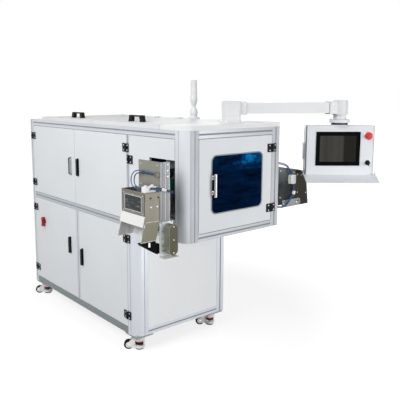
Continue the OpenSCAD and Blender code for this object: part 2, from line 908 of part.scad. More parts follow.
// Counting cameras under a cross bar, each facing a backlight on its own stand
module vision_units() color("#2b2d33") place() {
    bar_y0 = 40;
    bar_h = 25;
    camera_w = 44;
    camera_h = 90;
    bar_z0 = top_rail_z - 48;
    light_y = 250;
    light_t = 10;
    light_z0 = 1290;
    light_h = 80;
    lens_r = 18;
    lens_l = 46;
    block([corner_post, bar_y0, bar_z0], [right_inner, bar_y0 + bar_h, bar_z0 + bar_h]);
    for (x = lane_x) {
        mid = x + lane_w / 2;
        block(
            [mid - camera_w / 2, bar_y0, bar_z0 - camera_h],
            [mid + camera_w / 2, bar_y0 + camera_w, bar_z0]
        );
        rod_y(mid, bar_z0 - camera_h + camera_w / 2, bar_y0 + camera_w, bar_y0 + camera_w + lens_l, lens_r);
        block([x, light_y, light_z0], [x + lane_w, light_y + light_t, light_z0 + light_h]);
        block([mid - 12, light_y, deck_top], [mid + 12, light_y + light_t, light_z0]);
    }
}

// Sloping chute from under the end of a lane to the outlet, drawn for the left side
module drop_chute() {
    rise = chute_len * tan(chute_slope);
    y1 = chute_y0 + chute_w + 2 * outlet_t;
    lip = chute_wall;
    leg_x = 20;
    leg_w = 24;
    leg_z = chute_z + (leg_x + chute_end) * tan(chute_slope);
    along_y(chute_y0, y1)
        polygon([
            [-chute_end, chute_z], [chute_len - chute_end, chute_z + rise],
            [chute_len - chute_end, chute_z + rise + outlet_t], [-chute_end, chute_z + outlet_t]
        ]);
    for (y = [chute_y0, y1 - outlet_t])
        along_y(y, y + outlet_t)
            polygon([
                [-chute_end, chute_z], [chute_len - chute_end, chute_z + rise],
                [chute_len - chute_end, chute_z + rise + lip], [-chute_end, chute_z + lip]
            ]);
    block(
        [leg_x, chute_y0 + 20, ledge_z + panel_t],
        [leg_x + leg_w, chute_y0 + 20 + outlet_t, leg_z + outlet_t]
    );
}

module drop_chutes() color("silver") place()
    both_sides()
        drop_chute();

// Inner wall with the mouth that the chute feeds, and the lugs of the gate's shaft
module hopper_inner_wall(top, foot) {
    lug_w = 6;
    y_out = chute_y0 + chute_w + 2 * outlet_t + 3;
    difference() {
        along_y(hopper_y0, hopper_y1)
            folded_sheet([[-hopper_in, top], [-hopper_in, spout_top], foot], outlet_t);
        block([-hopper_in - 5, chute_y0 - 2, mouth_z0], [-hopper_in + 5, y_out - 1, mouth_z1]);
    }
    for (y = [chute_y0 - 2 - lug_w, hopper_y1 - lug_w])
        difference() {
            block([-hopper_in, y, gate_z - 9], [-gate_x + 9, y + lug_w, gate_z + 9]);
            rod_y(-gate_x, gate_z, y - cut, y + lug_w + cut, gate_r + pin_clear);
        }
}

// Front and rear plates of a hopper
module hopper_plates(points) {
    for (y = [hopper_y0, hopper_y1 - outlet_t])
        along_y(y, y + outlet_t)
            polygon(points);
}

sight_y0 = 34;
sight_y1 = 194;
sight_z0 = 1098;
sight_z1 = 1180;
awning_z = 1075;
awning_reach = 17;
awning_drop = 59;

module hopper_left() {
    wall_break = spout_top + 9;
    wall_z0 = awning_z - 10;
    shelf_l = 64;
    t = outlet_t / 2;
    hopper_plates([
        [-hopper_out, hopper_top], [-hopper_in, hopper_top], [-hopper_in, spout_top],
        [-spout_out + spout_w, spout_z], [-spout_out, spout_z], [-hopper_out, wall_break]
    ]);
    difference() {
        block([-hopper_out - t, hopper_y0, wall_z0], [-hopper_out + t, hopper_y1, hopper_top]);
        block([-hopper_out - 5, sight_y0, sight_z0], [-hopper_out + 5, sight_y1, sight_z1]);
    }
    along_y(hopper_y0, hopper_y1)
        folded_sheet([
            [-hopper_out - t, awning_z],
            [-hopper_out - awning_reach, awning_z - awning_drop]
        ], outlet_t);
    block([-hopper_out, hopper_y0, hopper_top - outlet_t], [-hopper_in, hopper_y0 + shelf_l, hopper_top]);
    hopper_inner_wall(hopper_top, [-spout_out + spout_w, spout_z]);
}

// The right hopper has a sloping roof instead of an open top
hood_points = [[-hopper_in, 1233], [-258, 1219], [-308, 1135], [-330, spout_z + 47]];
hood_foot = hood_points[3] + [spout_w, 0];

module hopper_right() {
    hopper_plates(concat(hood_points, [hood_foot, [-hopper_in, spout_top]]));
    along_y(hopper_y0, hopper_y1)
        folded_sheet(hood_points, outlet_t);
    hopper_inner_wall(hood_points[0].y, hood_foot);
}

module outlet_hoppers() color("darkgray") place() {
    hopper_left();
    on_right()
        hopper_right();
}

// Sight window of the left hopper: a frame with a pane in it
module outlet_window() color("dimgray") place() {
    frame_t = 4;
    border = 26;
    rim = 18;
    x1 = -hopper_out - outlet_t / 2;
    difference() {
        block([x1 - frame_t, sight_y0 - border, sight_z0 - rim], [x1, sight_y1 + border, sight_z1 + rim]);
        block([x1 - frame_t - cut, sight_y0, sight_z0], [x1 - 1.5, sight_y1, sight_z1]);
    }
}

// Back plate and cheek on the left, cheek and flat bar on the right, a ledge with a leg on both sides
module outlet_brackets() color("silver") place() {
    plate_t = 3;
    plate_l = 205;
    plate_top = 1372;
    cheek_w = 67;
    ledge_y1 = chute_y0 + chute_w;
    block(
        [-hopper_in - plate_t / 2, 0, hopper_top + plate_t],
        [-hopper_in + plate_t / 2, plate_l, plate_top]
    );
    block([-hopper_in - plate_t / 2, 0, ledge_z], [-hopper_in + cheek_w, plate_t, plate_top]);
    on_right() {
        along_y(0, plate_t)
            polygon([[0, 1262], [-hopper_in + 2, 1234], [-hopper_in + 2, ledge_z], [0, ledge_z]]);
        along_y(-plate_t, 0)
            difference() {
                union() {
                    translate([-214, ledge_z - 50])
                        square([172, 50]);
                    translate([-214, ledge_z - 25])
                        circle(r = 25);
                }
                translate([-214, ledge_z - 18])
                    circle(r = 6);
            }
    }
    both_sides() {
        block([-hopper_in + plate_t, plate_t, ledge_z], [-hopper_in + cheek_w, ledge_y1, ledge_z + plate_t]);
        block([-hopper_in + cheek_w, chute_y0, ledge_z], [-20, ledge_y1, ledge_z + plate_t]);
        block([-20, opening_y0 + 5, ledge_z], [60, ledge_y1, ledge_z + plate_t]);
        block([56, chute_y0, deck_top], [60, ledge_y1, ledge_z]);
    }
}

// Vane actuators that turn the gate shafts
module gate_actuators() {
    both_sides()
        difference() {
            union() {
                rod_y(-gate_x, gate_z, hopper_y1, hopper_y1 + 44, 18);
                block([-gate_x - 9, hopper_y1, gate_z], [-gate_x + 9, hopper_y1 + 30, gate_z + 26]);
            }
            rod_y(-gate_x, gate_z, hopper_y1 - cut, hopper_y1 + 30, gate_r + pin_clear);
        }
}

// Gate: flap on its shaft, drawn for the left side
module outlet_gate() {
    flap_t = 2.5;
    rod_y(-gate_x, gate_z, chute_y0 - 8, hopper_y1 + 26, gate_r);
    block(
        [-gate_x - flap_t / 2, chute_y0, gate_z - gate_h],
        [-gate_x + flap_t / 2, chute_y0 + chute_w + 2 * outlet_t, gate_z]
    );
}

module outlet_gate_left() color("silver") place()
    outlet_gate();

module outlet_gate_right() color("silver") place()
    on_right()
        outlet_gate();

// Sleeve of a push-in fitting along a stretch of a route
module sleeve(from, to, r) {
    run = to - from;
    translate(from)
        rotate([0, acos(run.z / norm(run)), atan2(run.y, run.x)])
            cylinder(r = r, h = norm(run), $fn = 32);
}

module push_fittings() color("white") place() {
    sleeve_r = 11;
    inline_r = 9.5;
    // Left: bulkhead on the corner post, inline valve, elbow on the hopper, bulkhead on the back plate
    block([30, corner_post, 1150], [60, corner_post + 30, 1180]);
    sleeve([-158, -14, 1213], [-192, -12.5, 1222], inline_r);
    block([-282, hopper_y0 + 8, hopper_top], [-206, hopper_y0 + 44, hopper_top + 32]);
    block([-hopper_in - 24, 4, 1289], [-hopper_in - 1.5, 26, 1315]);
    on_right_side = cabinet_w;
    // Right: two bulkheads on the square post, valve block on the cheek and a lower sleeve
    for (z = [1011, 1290])
        block([on_right_side - 60, square_post, z - 15], [on_right_side - 30, square_post + 34, z + 15]);
    block([on_right_side + 102, -28, 1142], [on_right_side + 152, 0, 1200]);
    sleeve([on_right_side + 153, -14, 1086], [on_right_side + 145, -14, 1064], sleeve_r);
}

module air_tubes_left() color("#1d4f9a") place()
    tube_pair(left_route, left_axis);

module air_tubes_right() color("#1d4f9a") place()
    translate([cabinet_w, 0, 0])
        tube_pair(right_route, right_axis);

// Drive of the swinging bucket: perforated plate with a foot, and the rounded belt guard
module bucket_drive() color("silver") place() {
    plate_x0 = -193;
    plate_x1 = -96;
    plate_z0 = 832;
    plate_top = ledge_z;
    guard_y0 = drive_plate_y - guard_d;
    hole_r = 5;
    along_y(drive_plate_y, drive_plate_y + drive_plate_t)
        difference() {
            translate([plate_x0, plate_z0 - 6])
                square([plate_x1 - plate_x0, plate_top - plate_z0 + 6]);
            for (z = [plate_z0 + 30 : 28 : plate_top - 30])
                translate([plate_x0 + 24, z])
                    circle(r = hole_r);
            translate([pulley_x, bucket_z])
                circle(r = bucket_shaft_r + pin_clear);
            translate([pulley_x, motor_z])
                circle(r = 20);
        }
    block([plate_x0, guard_y0, plate_z0 - 6], [plate_x1, drive_plate_y, plate_z0 - 3]);
    difference() {
        along_y(guard_y0, drive_plate_y)
            union() {
                for (z = [bucket_z, motor_z])
                    translate([pulley_x, z])
                        circle(r = guard_r);
                translate([pulley_x - guard_r, bucket_z])
                    square([2 * guard_r, motor_z - bucket_z]);
            }
        rod_y(pulley_x, bucket_z, guard_y0 + 6, drive_plate_y + cut, bucket_shaft_r + pin_clear);
    }
}

module bucket_motor() {
    body_w = 57;
    body_l = 80;
    face_l = 6;
    y0 = drive_plate_y + drive_plate_t;
    chamfer = 6;
    h = body_w / 2;
    along_y(y0, y0 + body_l)
        translate([pulley_x, motor_z])
            polygon([
                [-h + chamfer, -h], [h - chamfer, -h], [h, -h + chamfer], [h, h - chamfer],
                [h - chamfer, h], [-h + chamfer, h], [-h, h - chamfer], [-h, -h + chamfer]
            ]);
    rod_y(pulley_x, motor_z, y0 - drive_plate_t, y0 + face_l, 19.5);
}

module outlet_actuators() color("#202124") place() {
    gate_actuators();
    bucket_motor();
}

// Bucket under the left spout, open at the top, on an arm to its shaft
bucket_points = [[-320, 924], [-214, 924], [-200, 842], [-309, 909]];

module swing_bucket() color("#1a1a1c") place() {
    wall = 3;
    hub_r = 16;
    hub_l = 30;
    y1 = bucket_y0 + hub_l;
    inner = [
        [-320 + 2 * wall, 925], [-214 - wall, 925],
        [-200 - 2 * wall, 842 + 2.6 * wall], [-309 + wall, 909 + wall]
    ];
    difference() {
        along_y(bucket_y0, y1)
            polygon(bucket_points);
        along_y(bucket_y0 + wall, y1 - wall)
            polygon(inner);
    }
    along_y(bucket_y0, bucket_y0 + wall)
        polygon([[-216, 915], [pulley_x, bucket_z + hub_r], [pulley_x, bucket_z - hub_r], [-201, 846]]);
    rod_y(pulley_x, bucket_z, bucket_y0, y1, hub_r);
    rod_y(pulley_x, bucket_z, drive_plate_y - guard_d + 8, y1 + 4, bucket_shaft_r);
}

// Control panel in the lower cabinet: mounting plate on stand-offs, with its modules and cable ducts
module control_panel() color("lightslategray") place() {
    plate_x = cabinet_w - rail - 14;
    plate_t = 4;
    y0 = 860;
    y1 = 1760;
    z0 = 200;
    z1 = 810;
    block([plate_x, y0, z0], [plate_x + plate_t, y1, z1]);
    for (z = [z0 + 60, z1 - 90])
        block([plate_x + plate_t, mid_post_y, z], [cabinet_w - rail, mid_post_y + mid_post, z + 30]);
    for (z = [z0 + 10, z0 + 285, z1 - 50])
        block([plate_x - 40, y0 + 20, z], [plate_x, y1 - 20, z + 40]);
    for (i = [0 : 4])
        block([plate_x - 110, y0 + 40 + i * 90, z0 + 90], [plate_x, y0 + 112 + i * 90, z0 + 250]);
    for (i = [0 : 2])
        block([plate_x - 120, y0 + 520 + i * 110, z0 + 90], [plate_x, y0 + 610 + i * 110, z0 + 260]);
    for (i = [0 : 5])
        block([plate_x - 85, y0 + 40 + i * 60, z0 + 370], [plate_x, y0 + 92 + i * 60, z0 + 500]);
    for (i = [0 : 9])
        block([plate_x - 60, y0 + 430 + i * 38, z0 + 390], [plate_x, y0 + 462 + i * 38, z0 + 480]);
}

// Power gland and air inlet on the back of the lower cabinet
inlet_x = [200, 300];
inlet_z = 250;
gland_bore = 7;
air_bore = 5;

module rear_inlets() color("#333333") place() {
    back = cabinet_l - panel_inset;
    for (i = [0, 1]) {
        bore = i == 0 ? gland_bore : air_bore;
        difference() {
            union() {
                translate([inlet_x[i], back, inlet_z])
                    rotate([-90, 0, 0])
                        cylinder(r = 17, h = 8, $fn = 6);
                rod_y(inlet_x[i], inlet_z, back, back + 26, 12);
            }
            rod_y(inlet_x[i], inlet_z, back - cut, back + 26 + cut, bore);
        }
    }
}

// Doors on the left face

module upper_rear_door() color("whitesmoke") place()
    left_pan(upper_rear_span);

module upper_rear_door_fittings() color("#1c1c1e") place() {
    left_door_leaves(upper_rear_pin_y, hinge_levels(upper_rear_span), -1);
    pull_handle(rear_pull_y, upper_pull_z, 1);
}

module upper_front_door() color("whitesmoke") place()
    left_pan(upper_front_span);

module upper_front_door_fittings() color("#1c1c1e") place() {
    left_door_leaves(upper_front_pin_y, hinge_levels(upper_front_span), 1);
    pull_handle(front_pull_y, upper_pull_z, -1);
}

module outlet_door() color("whitesmoke") place() {
    rim = sheet_t;
    difference() {
        left_pan(outlet_door_span);
        block([-cut, 0, opening_z0], [door_t + cut, opening_y1, opening_z1]);
    }
    for (z = [opening_z0 - rim, opening_z1])
        block([0, outlet_door_span[0], z], [door_t, opening_y1 + rim, z + rim]);
    block([0, opening_y1, opening_z0 - rim], [door_t, opening_y1 + rim, opening_z1 + rim]);
}

module outlet_door_hinges() color("#1c1c1e") place()
    left_door_leaves(outlet_pin_y, outlet_levels(), -1);

module lower_rear_door() color("whitesmoke") place()
    left_pan(lower_rear_span);

// Isolator: a round base on the door, with the spindle that the red handle turns on
isolator_y = 1892;
isolator_z = 669;
isolator_r = 20;
isolator_t = 5;
spindle_r = 6;

module lower_rear_door_fittings() color("#1c1c1e") place() {
    left_door_leaves(lower_rear_pin_y, hinge_levels(lower_rear_span), -1);
    pull_handle(lower_rear_pull_y, rear_pull_z, 1);
    translate([0, isolator_y, isolator_z])
        rotate([0, -90, 0]) {
            cylinder(r = isolator_r, h = isolator_t);
            cylinder(r = spindle_r, h = isolator_t + 20);
        }
}

module isolator_handle() color("red") place() {
    grip_l = 80;
    grip_w = 24;
    grip_t = 24;
    flute_l = 44;
    flute_d = 4;
    gap = 0.5;
    translate([-isolator_t - gap, isolator_y, isolator_z])
        rotate([0, -90, 0])
            difference() {
                translate([-grip_l / 2, -grip_w / 2, 0])
                    linear_extrude(grip_t)
                        rounded_rect(grip_l, grip_w, grip_w / 2 - 1);
                for (y = [-grip_w / 2 - cut, grip_w / 2 - flute_d])
                    translate([-flute_l / 2, y, 8])
                        cube([flute_l, flute_d + cut, grip_t]);
                translate([0, 0, -cut])
                    cylinder(r = spindle_r + pin_clear, h = 20 + cut);
            }
}

module lower_front_door() color("whitesmoke") place()
    left_pan(lower_front_span);

module lower_front_door_fittings() color("#1c1c1e") place() {
    left_door_leaves(lower_front_pin_y, hinge_levels(lower_front_span), 1);
    pull_handle(lower_front_pull_y, front_pull_z, -1);
}

// Window door on the front

module window_outline(border) {
    translate([window_x - border, window_z - border])
        rounded_rect(window_w + 2 * border, window_h + 2 * border, window_r + border);
}

module window_door() color("whitesmoke") place()
    difference() {
        block([front_door_x0, 0, upper_z0], [front_door_x1, door_t, upper_z1]);
        block(
            [front_door_x0 + sheet_t, sheet_t, upper_z0 + sheet_t],
            [front_door_x1 - sheet_t, door_t + cut, upper_z1 - sheet_t]
        );
        along_y(-cut, sheet_t + cut)
            window_outline(0);
    }

module window_pane() color("#15233d") place()
    along_y(sheet_t, sheet_t + pane_t)
        window_outline(pane_border);

module window_door_fittings() color("silver") place() {
    bar_x0 = window_x + 8;
    bar_y0 = -30;
    bar_z0 = window_z + window_h / 2 - bar_handle_l / 2;
    post_inset = 20;
    for (z = hinge_levels(window_span))
        on_front_face(window_pin_x, z)
            door_leaf(hinge_h, door_leaf_w, hinge_t, knuckle_r, pin_r, pin_out);
    translate([bar_x0, bar_y0, bar_z0])
        cylinder(r = bar_handle_r, h = bar_handle_l);
    for (z = [bar_z0 + post_inset, bar_z0 + bar_handle_l - post_inset])
        rod_y(bar_x0, z, bar_y0, sheet_t, bar_handle_r * 0.7);
}

// Top lids

module lid(i) {
    z0 = frame_top + lid_lift;
    difference() {
        block([0, lid_y0(i), z0], [lid_w, lid_y1(i), cover_top]);
        block(
            [sheet_t, lid_y0(i) + sheet_t, z0 - cut],
            [lid_w - sheet_t, lid_y1(i) - sheet_t, cover_top - sheet_t]
        );
    }
    for (end = [-1, 1])
        on_top_face(lid_mid(i) + end * lid_hinge_spread - lid_hinge_h / 2)
            door_leaf(lid_hinge_h, lid_hinge_leaf, lid_hinge_t, lid_knuckle_r, lid_pin_r, lid_pin_out);
}

module lid_handle(i) {
    translate([lid_handle_x, lid_mid(i), cover_top])
        rotate(90)
            bridge_handle();
}

module front_lid() color("white") place()
    lid(0);

module front_lid_handle() color("#1c1c1e") place()
    lid_handle(0);

module rear_lid() color("white") place()
    lid(1);

module rear_lid_handle() color("#1c1c1e") place()
    lid_handle(1);

// Operator panel and its arm

module panel_arm() color("white") place()
    translate([arm_x, arm_y, 0])
        rotate(arm_angle) {
            sleeve_l = 92;
            sleeve_h = tube_h + 12;
            sleeve_w = tube_w + 12;
            neck_r = 44;
            difference() {
                union() {
                    translate([0, 0, arm_head_z])
                        linear_extrude(arm_head_top - arm_head_z)
                            arm_head_outline();
                    translate([arm_len, 0, arm_head_z])
                        cylinder(r = arm_head_r, h = arm_head_top - arm_head_z);
                    block([0, -tube_w / 2, tube_z], [arm_len, tube_w / 2, tube_z + tube_h]);
                    for (x = [0, arm_len - sleeve_l])
                        block(
                            [x, -sleeve_w / 2, tube_z - 6],
                            [x + sleeve_l, sleeve_w / 2, tube_z - 6 + sleeve_h]
                        );
                    translate([arm_len, 0, neck_z])
                        cylinder(r = neck_r, h = arm_head_z - neck_z + cut);
                }
                translate([0, 0, arm_head_z - cut])
                    cylinder(r = spigot_r + pin_clear, h = tube_z + tube_h / 2 + arm_gap - arm_head_z + cut);
                translate([arm_len, 0, neck_z - cut])
                    cylinder(r = spigot_r + pin_clear, h = 30 + cut);
            }
        }

// Moves a piece of the operator panel under the end of the arm, turned the way the panel faces
module at_panel() {
    place()
        translate([arm_end_x, arm_end_y, 0])
            rotate(panel_angle)
                children();
}

// Round bore through the panel's front
module front_bore(x, z, r, l) {
    rod_y(x, z, -panel_d / 2 - cut, -panel_d / 2 + l, r);
}

module panel_box() color("white") at_panel() {
    edge_r = 12;
    half = panel_w / 2;
    front = -panel_d / 2;
    ring_r = 70;
    seal_r = 55;
    base_h = 5;
    seal_top = panel_top + base_h + 14;
    boss_l = 24;
    tray_reach = 112;
    tray_drop = 37;
    tray_side = 12;
    tray_t = 2;
    difference() {
        union() {
            translate([-half, front, panel_z])
                linear_extrude(panel_h)
                    rounded_rect(panel_w, panel_d, edge_r);
            translate([0, 0, panel_top])
                cylinder(r = seal_r + 8, h = base_h);
            translate([0, 0, panel_top])
                cylinder(r = seal_r, h = seal_top - panel_top + cut);
            translate([0, 0, seal_top])
                cylinder(r = ring_r, h = neck_z - arm_gap - seal_top);
            translate([0, 0, seal_top])
                cylinder(r = spigot_r, h = neck_z + 26 - seal_top);
        }
        block(
            [-half + panel_wall, front + panel_wall, panel_z + panel_wall],
            [half - panel_wall, panel_d / 2 + cut, panel_top - panel_wall]
        );
        block(
            [screen_x0 + 10, front - cut, screen_z0 + 10],
            [screen_x0 + screen_w - 10, front + 5, screen_z0 + screen_h - 10]
        );
        front_bore(stop_x, stop_z, button_r + pin_clear, panel_wall + 2);
        front_bore(key_x, key_z, rotor_r + pin_clear, panel_wall + 2);
    }
    // Bushes behind the front for the button and the key
    for (bush = [[stop_x, stop_z, button_r], [key_x, key_z, rotor_r]])
        difference() {
            rod_y(bush[0], bush[1], front + panel_wall, front + boss_l, bush[2] + 5);
            rod_y(bush[0], bush[1], front, front + boss_l + cut, bush[2] + pin_clear);
        }
    // Back cover
    block(
        [-half + panel_wall + 0.2, panel_d / 2 - panel_wall, panel_z + panel_wall + 0.2],
        [half - panel_wall - 0.2, panel_d / 2, panel_top - panel_wall - 0.2]
    );
    // Tray under the box with its gussets
    translate([-half - tray_side, 0, 0])
        rotate([90, 0, 90]) {
            linear_extrude(panel_w + 2 * tray_side)
                polygon([
                    [0, panel_z - tray_t], [front, panel_z - tray_t],
                    [front - tray_reach, panel_z - tray_drop - tray_t],
                    [front - tray_reach, panel_z - tray_drop], [front, panel_z], [0, panel_z]
                ]);
            for (x = [0, panel_w + 2 * tray_side - tray_t])
                translate([0, 0, x])
                    linear_extrude(tray_t)
                        polygon([
                            [front + 10, panel_z + 24], [front + 10, panel_z - tray_t],
                            [front, panel_z - tray_t], [front - tray_reach, panel_z - tray_drop - tray_t]
                        ]);
        }
}

module panel_screen() color("#0c0d10") at_panel() {
    front = -panel_d / 2;
    bezel_t = 3;
    block([screen_x0, front - bezel_t, screen_z0], [screen_x0 + screen_w, front, screen_z0 + screen_h]);
    block(
        [screen_x0 + 12, front, screen_z0 + 12],
        [screen_x0 + screen_w - 12, front + 30, screen_z0 + screen_h - 12]
    );
}

module stop_button() color("red") at_panel() {
    front = -panel_d / 2;
    travel = 5;
    head_r = 25;
    head_h = 13;
    translate([stop_x, front - travel, stop_z])
        rotate([90, 0, 0])
            rotate_extrude()
                polygon([
                    [0, 0], [head_r - 2, 0], [head_r, 3], [head_r, head_h - 4], [head_r - 4, head_h],
                    [0, head_h + 2]
                ]);
    rod_y(stop_x, stop_z, front - travel, front + 18, button_r);
}

module key_switch() color("#1a1a1a") at_panel() {
    front = -panel_d / 2;
    flange_r = 17;
    flange_t = 7;
    gap = 0.4;
    rod_y(key_x, key_z, front - gap, front + 18, rotor_r);
    rod_y(key_x, key_z, front - gap - flange_t, front - gap, flange_r);
    // Key: a flat blade with a bow that hangs down
    block([key_x - 1.5, front - flange_t - 24, key_z - 5], [key_x + 1.5, front - flange_t, key_z + 5]);
    along_key = front - flange_t - 20;
    translate([key_x - 1.5, along_key, key_z - 9])
        rotate([0, 90, 0])
            cylinder(r = 11, h = 3);
}

// Levelling casters. In their own frame the swivel axis stands at the origin and the wheel trails to -x.

module caster_body() {
    top = swivel_top - swivel_gap;
    cheek_t = 4;
    window_z0 = 30;
    window_z1 = 68;
    window_w = 2 * dial_r - 4;
    hub_r = 20;
    base_z = 15;
    cheek_y = wheel_w / 2 + 1;
    root_x = 11 - swivel_r;
    difference() {
        translate([0, 0, base_z])
            cylinder(r = swivel_r, h = top - base_z);
        translate([0, 0, window_z0])
            cylinder(r = dial_r + 2, h = window_z1 - window_z0);
        for (side = [-1, 1])
            translate([-window_w / 2, side < 0 ? -swivel_r - cut : 0, window_z0 + 2])
                cube([window_w, swivel_r + cut, window_z1 - window_z0 - 4]);
        translate([0, 0, base_z - cut])
            cylinder(r = screw_r + pin_clear, h = window_z0 - base_z + 2 * cut);
        translate([0, 0, window_z1 - cut])
            cylinder(r = screw_r + pin_clear, h = 12);
        translate([0, 0, swivel_top - stud_l - 0.5])
            cylinder(r = stud_r + pin_clear, h = stud_l + cut);
    }
    for (y = [-cheek_y - cheek_t, cheek_y])
        along_y(y, y + cheek_t)
            union() {
                translate([-caster_trail, wheel_r])
                    circle(r = hub_r);
                polygon([
                    [-caster_trail, wheel_r + hub_r], [root_x, top - 6], [root_x, base_z + 4],
                    [-caster_trail, wheel_r - hub_r]
                ]);
            }
    rod_y(-caster_trail, wheel_r, -cheek_y - cheek_t, cheek_y + cheek_t, axle_r);
}

module caster_wheel() {
    crown = 3;
    h = wheel_w / 2;
    translate([-caster_trail, 0, wheel_r])
        rotate([90, 0, 0])
            rotate_extrude()
                polygon([
                    [axle_r + pin_clear, -h], [wheel_r - crown, -h], [wheel_r, -h + crown],
                    [wheel_r, h - crown], [wheel_r - crown, h], [axle_r + pin_clear, h]
                ]);
}

module caster_foot() {
    pad_h = 9;
    dial_z = 43;
    dial_h = 23;
    screw_top = 77;
    translate([0, 0, foot_lift])
        cylinder(r = foot_r, h = pad_h);
    translate([0, 0, foot_lift])
        cylinder(r = screw_r, h = screw_top - foot_lift);
    translate([0, 0, dial_z])
        cylinder(r = dial_r, h = dial_h);
}

// Places a caster piece at one of the four corners
module at_caster(i, j) {
    place()
        translate([caster_x[i], caster_y[j], floor_z])
            rotate(caster_turn)
                children();
}

module caster_body_front_left() color("ivory") at_caster(0, 0) caster_body();
module caster_wheel_front_left() color("#1b1b1b") at_caster(0, 0) caster_wheel();
module caster_foot_front_left() color("darkred") at_caster(0, 0) caster_foot();
module caster_body_front_right() color("ivory") at_caster(1, 0) caster_body();
module caster_wheel_front_right() color("#1b1b1b") at_caster(1, 0) caster_wheel();
module caster_foot_front_right() color("darkred") at_caster(1, 0) caster_foot();
module caster_body_rear_left() color("ivory") at_caster(0, 1) caster_body();
module caster_wheel_rear_left() color("#1b1b1b") at_caster(0, 1) caster_wheel();
module caster_foot_rear_left() color("darkred") at_caster(0, 1) caster_foot();
module caster_body_rear_right() color("ivory") at_caster(1, 1) caster_body();
module caster_wheel_rear_right() color("#1b1b1b") at_caster(1, 1) caster_wheel();
module caster_foot_rear_right() color("darkred") at_caster(1, 1) caster_foot();

frame();
fixed_panels();
top_covers();
hinge_frame_leaves();
caster_plates();
tower_light();
arm_base();
storage_hopper();
feeder_drives();
feeder_tray();
vision_units();
drop_chutes();
outlet_hoppers();
outlet_window();
outlet_brackets();
outlet_actuators();
push_fittings();
air_tubes_left();
air_tubes_right();
outlet_gate_left();
outlet_gate_right();
bucket_drive();
swing_bucket();
control_panel();
rear_inlets();
upper_rear_door();
upper_rear_door_fittings();
upper_front_door();
upper_front_door_fittings();
outlet_door();
outlet_door_hinges();
lower_rear_door();
lower_rear_door_fittings();
isolator_handle();
lower_front_door();
lower_front_door_fittings();
window_door();
window_pane();
window_door_fittings();
front_lid();
front_lid_handle();
rear_lid();
rear_lid_handle();
panel_arm();
panel_box();
panel_screen();
stop_button();
key_switch();
caster_body_front_left();
caster_wheel_front_left();
caster_foot_front_left();
caster_body_front_right();
caster_wheel_front_right();
caster_foot_front_right();
caster_body_rear_left();
caster_wheel_rear_left();
caster_foot_rear_left();
caster_body_rear_right();
caster_wheel_rear_right();
caster_foot_rear_right();
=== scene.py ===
"""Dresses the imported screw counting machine: a finish for every CAD node, and the small pieces that the
CAD leaves out. The air tubes take the place of their solids."""
import math

import bmesh
import bpy
from mathutils import Matrix, Vector


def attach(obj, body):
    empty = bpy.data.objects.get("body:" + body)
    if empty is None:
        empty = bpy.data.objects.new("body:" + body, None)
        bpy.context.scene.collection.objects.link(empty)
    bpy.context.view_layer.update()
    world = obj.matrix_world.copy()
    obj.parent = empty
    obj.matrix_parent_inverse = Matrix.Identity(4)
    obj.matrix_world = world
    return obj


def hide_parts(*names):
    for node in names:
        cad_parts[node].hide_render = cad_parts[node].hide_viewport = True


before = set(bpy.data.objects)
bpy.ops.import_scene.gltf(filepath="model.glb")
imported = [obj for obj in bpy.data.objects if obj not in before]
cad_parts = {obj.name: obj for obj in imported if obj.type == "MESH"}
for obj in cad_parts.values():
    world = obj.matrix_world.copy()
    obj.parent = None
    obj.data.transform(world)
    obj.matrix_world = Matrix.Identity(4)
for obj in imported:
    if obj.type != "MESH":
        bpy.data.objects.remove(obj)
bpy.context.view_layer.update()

# Sizes in millimetres, counted as in the CAD source: x from the left face and y from the front face of
# the upper cabinet, z from a mark that lies FLOOR_DROP above the floor
MM = 0.001
CABINET_W = 814
CABINET_L = 2108
FLOOR_DROP = 27
COVER_TOP = 1566
FACE_INSET = 2
OVERHANG = 522
CORNERS = ("front_left", "front_right", "rear_left", "rear_right")
LEFT, RIGHT = Vector((-1, 0, 0)), Vector((1, 0, 0))
FRONT, BACK = Vector((0, -1, 0)), Vector((0, 1, 0))
UP, DOWN = Vector((0, 0, 1)), Vector((0, 0, -1))
X, Y, Z = 0, 1, 2


def at(x, y, z):
    """A point given in the CAD source's millimetres, in the shared frame."""
    return Vector(((x - CABINET_W / 2) * MM, (y - CABINET_L / 2) * MM, (z + FLOOR_DROP) * MM))


def from_right(x, y, z):
    """A point whose x counts from the right face."""
    return at(CABINET_W + x, y, z)


def both(value):
    """A distance to either side."""
    return (-value, value)


# Operator panel, in its own frame under the end of the arm
ARM_X, ARM_Y, ARM_LEN = 505, 147, 785
ARM_TURN = Matrix.Rotation(math.radians(-25), 4, "Z")
PANEL_TURN = Matrix.Rotation(math.radians(-40), 4, "Z")
ARM_BASE_T, ARM_BASE_BOLT = 8, 57
ARM_HEAD_TOP, ARM_HEAD_PLATE, ARM_HEAD_CAP_R = 1705, 90, 46
SLEEVE_Z, SLEEVE_W, SLEEVE_L, SLEEVE_H = 1659, 70, 92, 82
SLEEVE_SCREW_X, SLEEVE_SCREW_Z = 72, 23
PANEL_Z, PANEL_TOP, PANEL_HALF, PANEL_FRONT = 1202, 1539, 232.5, -40
BACK_SCREW = 14
NECK_BOLTS, NECK_BOLT_R, NECK_BOLT_Z = 6, 58, 1579.5
TRAY_REACH, TRAY_DROP, TRAY_SIDE = 112, 38, 12
SCREEN_X, SCREEN_Z, SCREEN_W, SCREEN_H, SCREEN_FRONT = -14, 1381, 300, 232, -43
SCREEN_BEZEL = 27
BUTTON_X, STOP_Z, KEY_Z = 191, 1469, 1286
GRIP_Y, GRIP_Z, GRIP_W, GRIP_H, GRIP_THICK = 10, 1362, 36, 112, 10


def on_arm(x, y, z):
    return at(ARM_X, ARM_Y, z) + ARM_TURN @ Vector((x * MM, y * MM, 0))


def on_panel(x, y, z):
    turned = PANEL_TURN @ Vector((x * MM, y * MM, 0))
    return on_arm(ARM_LEN, 0, z) + turned


# Materials


